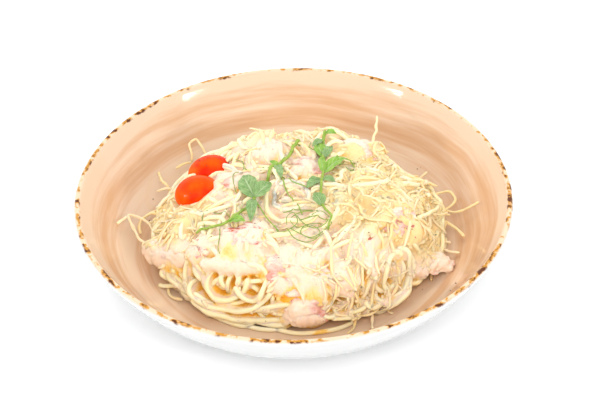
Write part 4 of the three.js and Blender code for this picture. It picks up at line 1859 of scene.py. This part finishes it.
    def lay(self, serving: Serving, clear_of: list[TomatoHalf]) -> None:
        """Lays all the cheese on the serving.

        Args:
            serving: the serving it falls on.
            clear_of: the tomatoes, which were put on after it.
        """
        rng = np.random.default_rng(77)
        hanging = -math.pi / 2
        plan = [("thin", self.thin, None)] * self.thin.shreds
        plan += [("right", self.right, None)] * self.right.shreds
        plan += [("left", self.left, None)] * self.left.shreds
        plan += [("thin", self.front, hanging)] * self.front.shreds
        before = serving.relief.copy()
        off_bacon = 1.36
        shreds = []
        for number in rng.permutation(len(plan)):
            pile, drift, heading = plan[number]
            shred = self.scattered(rng, drift, heading)
            kept = rng.random()
            if any(tomato.over(shred.path) for tomato in clear_of):
                continue
            if kept < off_bacon * serving.bare_spots(*shred.path[:, :2].T).mean():
                continue
            shred = self.laid(rng, serving, shred)
            shred.pile = pile
            shreds.append(shred)
        for shred in serving.settled(shreds, before, before, 0.9, 2.6):
            self.laid_shreds[shred.pile].append(shred)
        for through in self.strays:
            side = "right" if through[0][0] > 0 else "left"
            self.laid_shreds[side].append(self.stray(rng, serving, through))

    def build(self, serving: Serving, top: Relief) -> None:
        """Skins the shreds and dresses them."""
        material = GRATED_CHEESE.material()
        for pile, name, node in (
            ("right", "grated_cheese_right_shreds", "grated_cheese_right"),
            ("left", "grated_cheese_left_shreds", "grated_cheese_left"),
            ("thin", "grated_cheese_scattered", None),
        ):
            points, faces, attributes = tube_mesh(self.laid_shreds[pile], self.sides, 0.75)
            attributes["buried"] = serving.buried(points, top)
            piece = make_piece(name, points, faces, [material], attributes)
            if node:
                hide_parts(node)


# ---- Pea shoots -----------------------------------------------------------------------------


@dataclass(frozen=True)
class Leaflet:
    """A pea leaflet: where it leaves the stem, its tip, and how it is held."""

    start: tuple[float, float, float]
    tip: tuple[float, float, float]
    width: float
    part: PeaPart = PeaPart.OLD_LEAF
    fold: float = 0.35
    arch: float = 0.12
    roll: float = 0.0

    def mesh(self) -> tuple[np.ndarray, list[list[int]], dict[str, np.ndarray]]:
        """Builds the closed blade: an oval folded along its midrib, arched, and thin.

        Returns:
            Points in mm, faces, and the attributes "across" and "along".
        """
        rows, columns = 22, 13
        start, tip = np.array(self.start), np.array(self.tip)
        axis = tip - start
        length = np.linalg.norm(axis)
        axis = axis / length
        side = np.cross(axis, [0.0, 0.0, 1.0])
        side /= np.linalg.norm(side)
        up = np.cross(side, axis)
        roll = math.radians(self.roll)
        side, up = (
            side * math.cos(roll) + up * math.sin(roll),
            up * math.cos(roll) - side * math.sin(roll),
        )
        t = np.linspace(0, 1, rows)[:, None]
        u = np.linspace(-1, 1, columns)[None, :]
        half = self.width / 2 * np.sin(math.pi * t**0.85) ** 0.75
        half = np.maximum(half, 0.12)
        frill = 1 + 0.04 * np.sin(t * 21 + u * 2)
        ripple = 0.035 * self.width * np.sin(t * 15 + 2 * u) * np.abs(u) ** 2
        height = (
            self.fold * half * np.abs(u) ** 1.3
            + self.arch * length * np.sin(math.pi * t)
            + ripple
            - 0.06 * self.width * (np.abs(u) < 0.12)
        )
        middle = (
            start
            + axis * (t[..., None] * length)
            + side * (half * u * frill)[..., None]
            + up * height[..., None]
        )
        across = np.gradient(middle, axis=1)
        down = np.gradient(middle, axis=0)
        normal = np.cross(across, down)
        normal /= np.linalg.norm(normal, axis=-1, keepdims=True) + 1e-9
        rim = np.clip(4 * (1 - np.abs(u)), 0.15, 1) * np.clip(8 * t * (1 - t), 0.3, 1)
        thick = 0.22 * rim[..., None]
        points = np.concatenate([(middle + normal * thick), (middle - normal * thick)])
        points = points.reshape(-1, 3)
        other = rows * columns
        i = (np.arange(rows - 1)[:, None] * columns + np.arange(columns - 1)[None, :]).ravel()
        quads = np.stack([i, i + 1, i + columns + 1, i + columns], axis=-1)
        faces = quads.tolist() + (quads[:, ::-1] + other).tolist()
        border = (
            [c for c in range(columns)]
            + [r * columns + columns - 1 for r in range(1, rows)]
            + [(rows - 1) * columns + c for c in range(columns - 2, -1, -1)]
            + [r * columns for r in range(rows - 2, 0, -1)]
        )
        for a, b in zip(border, border[1:] + border[:1]):
            faces.append([a, a + other, b + other, b])
        attributes = {
            "across": np.tile(np.broadcast_to(u, (rows, columns)).ravel(), 2),
            "along": np.tile(np.broadcast_to(t, (rows, columns)).ravel(), 2),
        }
        return points, faces, attributes


@dataclass
class PeaShoot:
    """One sprig: stems, leaflets and the tendrils that curl from them."""

    node: str
    stems: list[tuple[float, list[tuple[float, float, float]]]]
    leaflets: list[Leaflet]
    tendrils: list[list[tuple[float, float, float]]]
    tendril_radius: float = 0.27

    def rested(self, line: np.ndarray, radius: float, serving: Serving) -> np.ndarray:
        """Lifts a line where it would sink into the food."""
        rest = serving.plan.rest(line[:, 0], line[:, 1], radius)
        z = np.maximum(line[:, 2], rest)
        for _ in range(6):
            z[1:-1] = (z[:-2] + z[1:-1] + z[2:]) / 3
        return np.column_stack([line[:, :2], np.maximum(z, rest - 0.3)])

    def build(self, serving: Serving) -> None:
        """Builds the sprig and dresses it."""
        stems, tendrils = [], []
        for radius, points in self.stems:
            line = self.rested(curve_through(points, 1.2), radius, serving)
            share = np.linspace(0, 1, len(line))
            stems.append(Strand(line, radius * (1 - 0.35 * share)))
        for points in self.tendrils:
            line = self.rested(curve_through(points, 0.8), self.tendril_radius, serving)
            share = np.linspace(0, 1, len(line))
            tendrils.append(Strand(line, self.tendril_radius * (1.15 - 0.4 * share)))
        for ending, strands, sides, part in (
            ("_stems", stems, 10, PeaPart.STEM),
            ("_tendrils", tendrils, 6, PeaPart.TENDRIL),
        ):
            points, faces, attributes = tube_mesh(strands, sides)
            material = PeaShootSkin(part).material()
            piece = make_piece(self.node + ending, points, faces, [material], attributes)
            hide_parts(self.node)
        for part in (PeaPart.OLD_LEAF, PeaPart.YOUNG_LEAF):
            self.build_leaves(part, serving)

    def build_leaves(self, part: PeaPart, serving: Serving) -> None:
        """Builds the leaflets of one age as one piece."""
        all_points, all_faces, across, along = [], [], [], []
        start = 0
        for leaflet in self.leaflets:
            if leaflet.part != part:
                continue
            points, faces, attributes = leaflet.mesh()
            rest = serving.plan.at(points[:, 0], points[:, 1]) + 0.25
            lift = np.maximum(rest - points[:, 2], 0)
            points[:, 2] += 0.85 * lift.max()
            all_points.append(points)
            all_faces += [[number + start for number in face] for face in faces]
            across.append(attributes["across"])
            along.append(attributes["along"])
            start += len(points)
        if not all_points:
            return
        piece = make_piece(
            self.node + "_" + part.name.lower(),
            np.vstack(all_points),
            all_faces,
            [PeaShootSkin(part).material()],
            {"across": np.concatenate(across), "along": np.concatenate(along)},
        )
        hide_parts(self.node)


def left_shoot() -> PeaShoot:
    """The sprig that lies across the left, from the back to the tomatoes."""
    return PeaShoot(
        "pea_shoot_left",
        [
            (
                1.1,
                [
                    (4, 38, 56), (-3, 28, 54.5), (-10, 18, 54), (-17, 4, 53.5), (-23, -7, 52.5),
                    (-28, -16, 52), (-37, -27, 50.5), (-51, -27, 46), (-57, -26, 43),
                ],
            ),
            (0.5, [(-10, 18, 54), (-4, -3, 54), (0, -13, 53), (5, -21, 51.5)]),
            (0.5, [(-23, -7, 52.5), (-16, -24, 52.5), (-9, -33, 49.5)]),
            (0.45, [(-9, 15, 54), (-1, 4, 53.5), (8, 0, 52)]),
        ],
        [
            Leaflet((-23, -7, 52.5), (-30, 10, 56), 12, fold=0.25, roll=18),
            Leaflet((-23, -8, 52.5), (-13, 1, 56), 9.5, roll=-14),
            Leaflet((-24, -9, 52.5), (-25, -29, 52), 6.5),
            Leaflet((-38, -27.5, 50.5), (-28, -30, 53), 7, PeaPart.YOUNG_LEAF),
            Leaflet((-10, 18, 54), (-7, 4, 55), 5.5),
            Leaflet((-9, 19, 54), (-14, 23, 57), 4.5, PeaPart.YOUNG_LEAF),
        ],
        [
            [
                (-37, -26, 51), (-39, -18, 50), (-46, -15, 48), (-53, -13, 43), (-54, -19, 43),
                (-52, -25, 44),
            ],
            [(-43, -31, 50), (-43, -37, 48), (-44, -41, 45), (-43, -46, 44)],
            [(-28, 15, 48), (-31, 19, 50), (-30, 25, 52), (-33, 31, 52), (-38, 34, 50)],
            [(-33, 15, 47), (-36, 13, 47), (-36, 9, 46), (-34, 2, 50)],
            [(-20, 20, 53), (-16, 14, 53), (-11, 14, 52)],
            [
                (-11, -29, 50), (-9, -35, 50), (-4, -36, 52), (2, -29, 52), (0, -22, 54),
                (-4, -25, 53), (-4, -31, 52),
            ],
            [(-6, -21, 53), (-2, -20, 53), (3, -19, 53), (11, -17, 51)],
        ],
    )


def right_shoot() -> PeaShoot:
    """The sprig that stands up at the back and lies down towards the middle."""
    return PeaShoot(
        "pea_shoot_right",
        [
            (
                1.0,
                [
                    (20, 45, 63), (19, 41, 59), (18, 30, 55.5), (19, 22, 54), (17, 3, 54),
                    (16, -11, 53.5), (17, -19, 52.5), (22, -26, 51), (20, -32, 48.5),
                ],
            ),
            (0.6, [(18.5, 20, 54), (27, 24, 55), (35, 24, 53), (38, 19, 50.5)]),
        ],
        [
            Leaflet((20, 44, 62), (27, 42, 63.5), 5.5, PeaPart.YOUNG_LEAF),
            Leaflet((19, 40, 58.5), (12, 35, 58), 5),
            Leaflet((18.5, 27, 55), (14.5, 37, 58), 8, PeaPart.YOUNG_LEAF),
            Leaflet((18.7, 26, 54.7), (24.5, 34, 58), 6),
            Leaflet((18, 12, 54), (32, 24, 56.5), 8, PeaPart.YOUNG_LEAF),
            Leaflet((18, 13, 54), (17, 24, 57.5), 5, PeaPart.YOUNG_LEAF),
            Leaflet((17.5, 8, 54), (8, -1, 55), 7.5),
            Leaflet((17.2, 5, 54), (25, 1, 55.5), 5.5),
            Leaflet((17, -19, 52.5), (12, -11, 56), 8),
        ],
        [
            [
                (3, -27, 52), (10, -26, 52), (18, -28, 53), (22, -30, 52), (17, -35, 50),
                (10, -39, 49), (4, -36, 50), (7, -30, 50), (16, -30, 52), (20, -34, 50),
            ],
            [(28, 21, 55), (34, 25, 53), (38, 24, 50), (36, 16, 51), (32, 18, 51)],
            [(19, 37, 55), (13, 33, 55), (10, 38, 56), (11, 45, 53)],
            [(-2, -34, 52), (4, -37, 50), (11, -40, 49), (18, -36, 50)],
            [
                (2, -24, 53), (6, -30, 52), (12, -33, 51), (18, -31, 52), (21, -26, 52),
                (16, -23, 53), (9, -25, 53),
            ],
            [
                (-4, -33, 51), (0, -39, 49), (7, -42, 48), (13, -40, 49), (15, -35, 50),
                (11, -31, 51), (5, -33, 51),
            ],
            [(14, -22, 53), (8, -20, 53), (2, -22, 53), (-2, -27, 52), (2, -32, 51), (8, -31, 52)],
        ],
    )


# ---- Pepper ---------------------------------------------------------------------------------


@dataclass
class Pepper:
    """Cracked pepper: small sharp flakes over the food, and a few on the bowl."""

    on_food: int = 70
    on_bowl: int = 22

    def flake(self, rng: np.random.Generator, at: np.ndarray) -> tuple[np.ndarray, np.ndarray]:
        """One broken flake, as the corners of a crooked octahedron."""
        size = rng.uniform(0.25, 0.62)
        corners = np.array(
            [[1, 0, 0], [0, 1, 0], [-1, 0, 0], [0, -1, 0], [0, 0, 0.6], [0, 0, -0.6]], dtype=float
        )
        corners *= rng.uniform(0.6, 1.3, (6, 1)) * size
        turn = rng.uniform(0, TURN)
        cos, sin = math.cos(turn), math.sin(turn)
        corners = corners @ np.array([[cos, sin, 0], [-sin, cos, 0], [0, 0, 1]])
        faces = [[0, 1, 4], [1, 2, 4], [2, 3, 4], [3, 0, 4], [1, 0, 5], [2, 1, 5], [3, 2, 5], [0, 3, 5]]
        return corners + at, np.array(faces)

    def build(self, serving: Serving) -> None:
        """Scatters the flakes."""
        rng = np.random.default_rng(5)
        points, faces = [], []
        for number in range(self.on_food + self.on_bowl):
            angle = rng.uniform(0, TURN)
            edge = 84.0
            if number < self.on_food:
                away = edge * math.sqrt(rng.random()) * 0.96
            else:
                away = rng.uniform(edge + 2, min(edge + 26, 112))
            x, y = np.array([away * math.cos(angle)]), np.array([away * math.sin(angle)])
            z = serving.plan.at(x, y)[0] + 0.15
            corners, sides = self.flake(rng, np.array([x[0], y[0], z]))
            faces += (sides + 6 * number).tolist()
            points.append(corners)
        make_piece("pepper_flakes", np.vstack(points), faces, [CrackedPepper().material()])


# ---- Studio ---------------------------------------------------------------------------------


@dataclass
class Studio:
    """A white paper sweep, a bright room, two windows and the camera."""

    elevation: float = 39.058
    distance: float = 844.619
    shift_right: float = 3.984
    shift_up: float = -6.71
    roll: float = -1.044
    rim_height: float = 54.0
    lens: float = 85.0
    sky_low: float = 1.18
    sky_overhead: float = 0.62

    def floor(self) -> None:
        """Lays the paper under the bowl."""
        mesh = bpy.data.meshes.new("paper")
        half = 3.0
        mesh.from_pydata(
            [(-half, -half, 0), (half, -half, 0), (half, half, 0), (-half, half, 0)],
            [],
            [(0, 1, 2, 3)],
        )
        mesh.materials.append(StudioPaper().material())
        paper = bpy.data.objects.new("paper", mesh)
        bpy.context.scene.collection.objects.link(paper)

    def camera(self) -> None:
        """Sets the camera up."""
        rise = math.radians(self.elevation)
        back = Vector((0, -math.cos(rise), math.sin(rise)))
        right = Vector((1, 0, 0))
        up = back.cross(right)
        roll = math.radians(self.roll)
        right, up = (
            right * math.cos(roll) + up * math.sin(roll),
            up * math.cos(roll) - right * math.sin(roll),
        )
        place = back * self.distance + right * self.shift_right + up * self.shift_up
        place += Vector((0, 0, self.rim_height))
        data = bpy.data.cameras.new("camera")
        data.lens = self.lens
        data.sensor_width = 36
        data.clip_start = 0.05
        camera = bpy.data.objects.new("camera", data)
        bpy.context.scene.collection.objects.link(camera)
        turned = Matrix((right, up, back)).transposed().to_4x4()
        camera.matrix_world = Matrix.Translation(place * MM) @ turned
        bpy.context.scene.camera = camera

    def window(
        self,
        name: str,
        toward: tuple[float, float, float],
        away: float,
        size: tuple[float, float],
        watts: float,
        mirrored: bool = False,
    ) -> None:
        """Hangs a soft light.

        Args:
            name: the light's name.
            toward: the direction it stands in, from the bowl.
            away: how far off it is, in metres.
            size: its width and height in metres.
            watts: its power.
            mirrored: whether glossy things reflect it.
        """
        data = bpy.data.lights.new(name, "AREA")
        data.shape = "RECTANGLE"
        data.size, data.size_y = size
        data.energy = watts
        lamp = bpy.data.objects.new(name, data)
        bpy.context.scene.collection.objects.link(lamp)
        direction = Vector(toward).normalized()
        lamp.location = direction * away
        lamp.rotation_euler = direction.to_track_quat("Z", "Y").to_euler()
        lamp.visible_glossy = mirrored

    def lights(self) -> None:
        """Lights the room."""
        scene = bpy.context.scene
        scene.view_settings.view_transform = "Standard"
        world = bpy.data.worlds.new("room")
        world.use_nodes = True
        background = world.node_tree.nodes["Background"]
        background.inputs["Color"].default_value = linear("ffffff")
        tree = world.node_tree
        toward = add_node(tree, "TexCoord").outputs["Generated"]
        rise = add_node(tree, "SeparateXYZ", inputs={0: toward}).outputs["Z"]
        share = add_node(tree, "Math", {"operation": "MULTIPLY"}, {0: rise, 1: rise})
        strength = add_node(
            tree,
            "MapRange",
            inputs={"Value": share, "To Min": self.sky_low, "To Max": self.sky_overhead},
        )
        tree.links.new(strength.outputs[0], background.inputs["Strength"])
        scene.world = world
        self.window("window_back", (-0.15, 0.9, 0.9), 1.6, (0.9, 0.9), 9)
        self.window("window_front", (0.05, -0.75, 0.9), 1.6, (0.9, 0.9), 9)
        gleam = (0.36, 0.06)
        self.window("window_right_front", (1.14, -0.82, 0.55), 1.5, gleam, 4, mirrored=True)
        self.window("window_left_front", (-1.15, -0.80, 0.53), 1.5, gleam, 4, mirrored=True)

    def build(self) -> None:
        """Builds the studio."""
        self.floor()
        self.lights()
        self.camera()


# ---- All of it ------------------------------------------------------------------------------


def main() -> None:
    """Builds the dish from the bowl up."""
    logging.basicConfig(level=logging.INFO, format="%(name)s %(message)s")
    CoupeBowl().build()
    serving = Serving.from_frame(sunk=5.0)
    spaghetti = Spaghetti()
    spaghetti.lay(serving)
    BaconPieces().build(serving)
    tomatoes = [
        TomatoHalf("tomato_half_back", (-52, 33, 42), 14, (0, -14)),
        TomatoHalf("tomato_half_front", (-59, 13, 42), 8, (8, -16)),
    ]
    cheese = GratedCheese()
    cheese.lay(serving, clear_of=tomatoes)
    top = serving.relief.blurred(2.2)
    spaghetti.build(serving, top)
    film = SauceBed().build(serving, top)
    CheeseCurds().build(serving, film, top, clear_of=tomatoes)
    for tomato in tomatoes:
        tomato.build(serving)
    cheese.build(serving, top)
    left_shoot().build(serving)
    right_shoot().build(serving)
    Pepper().build(serving)
    Studio().build()


if __name__ == "__main__":
    main()
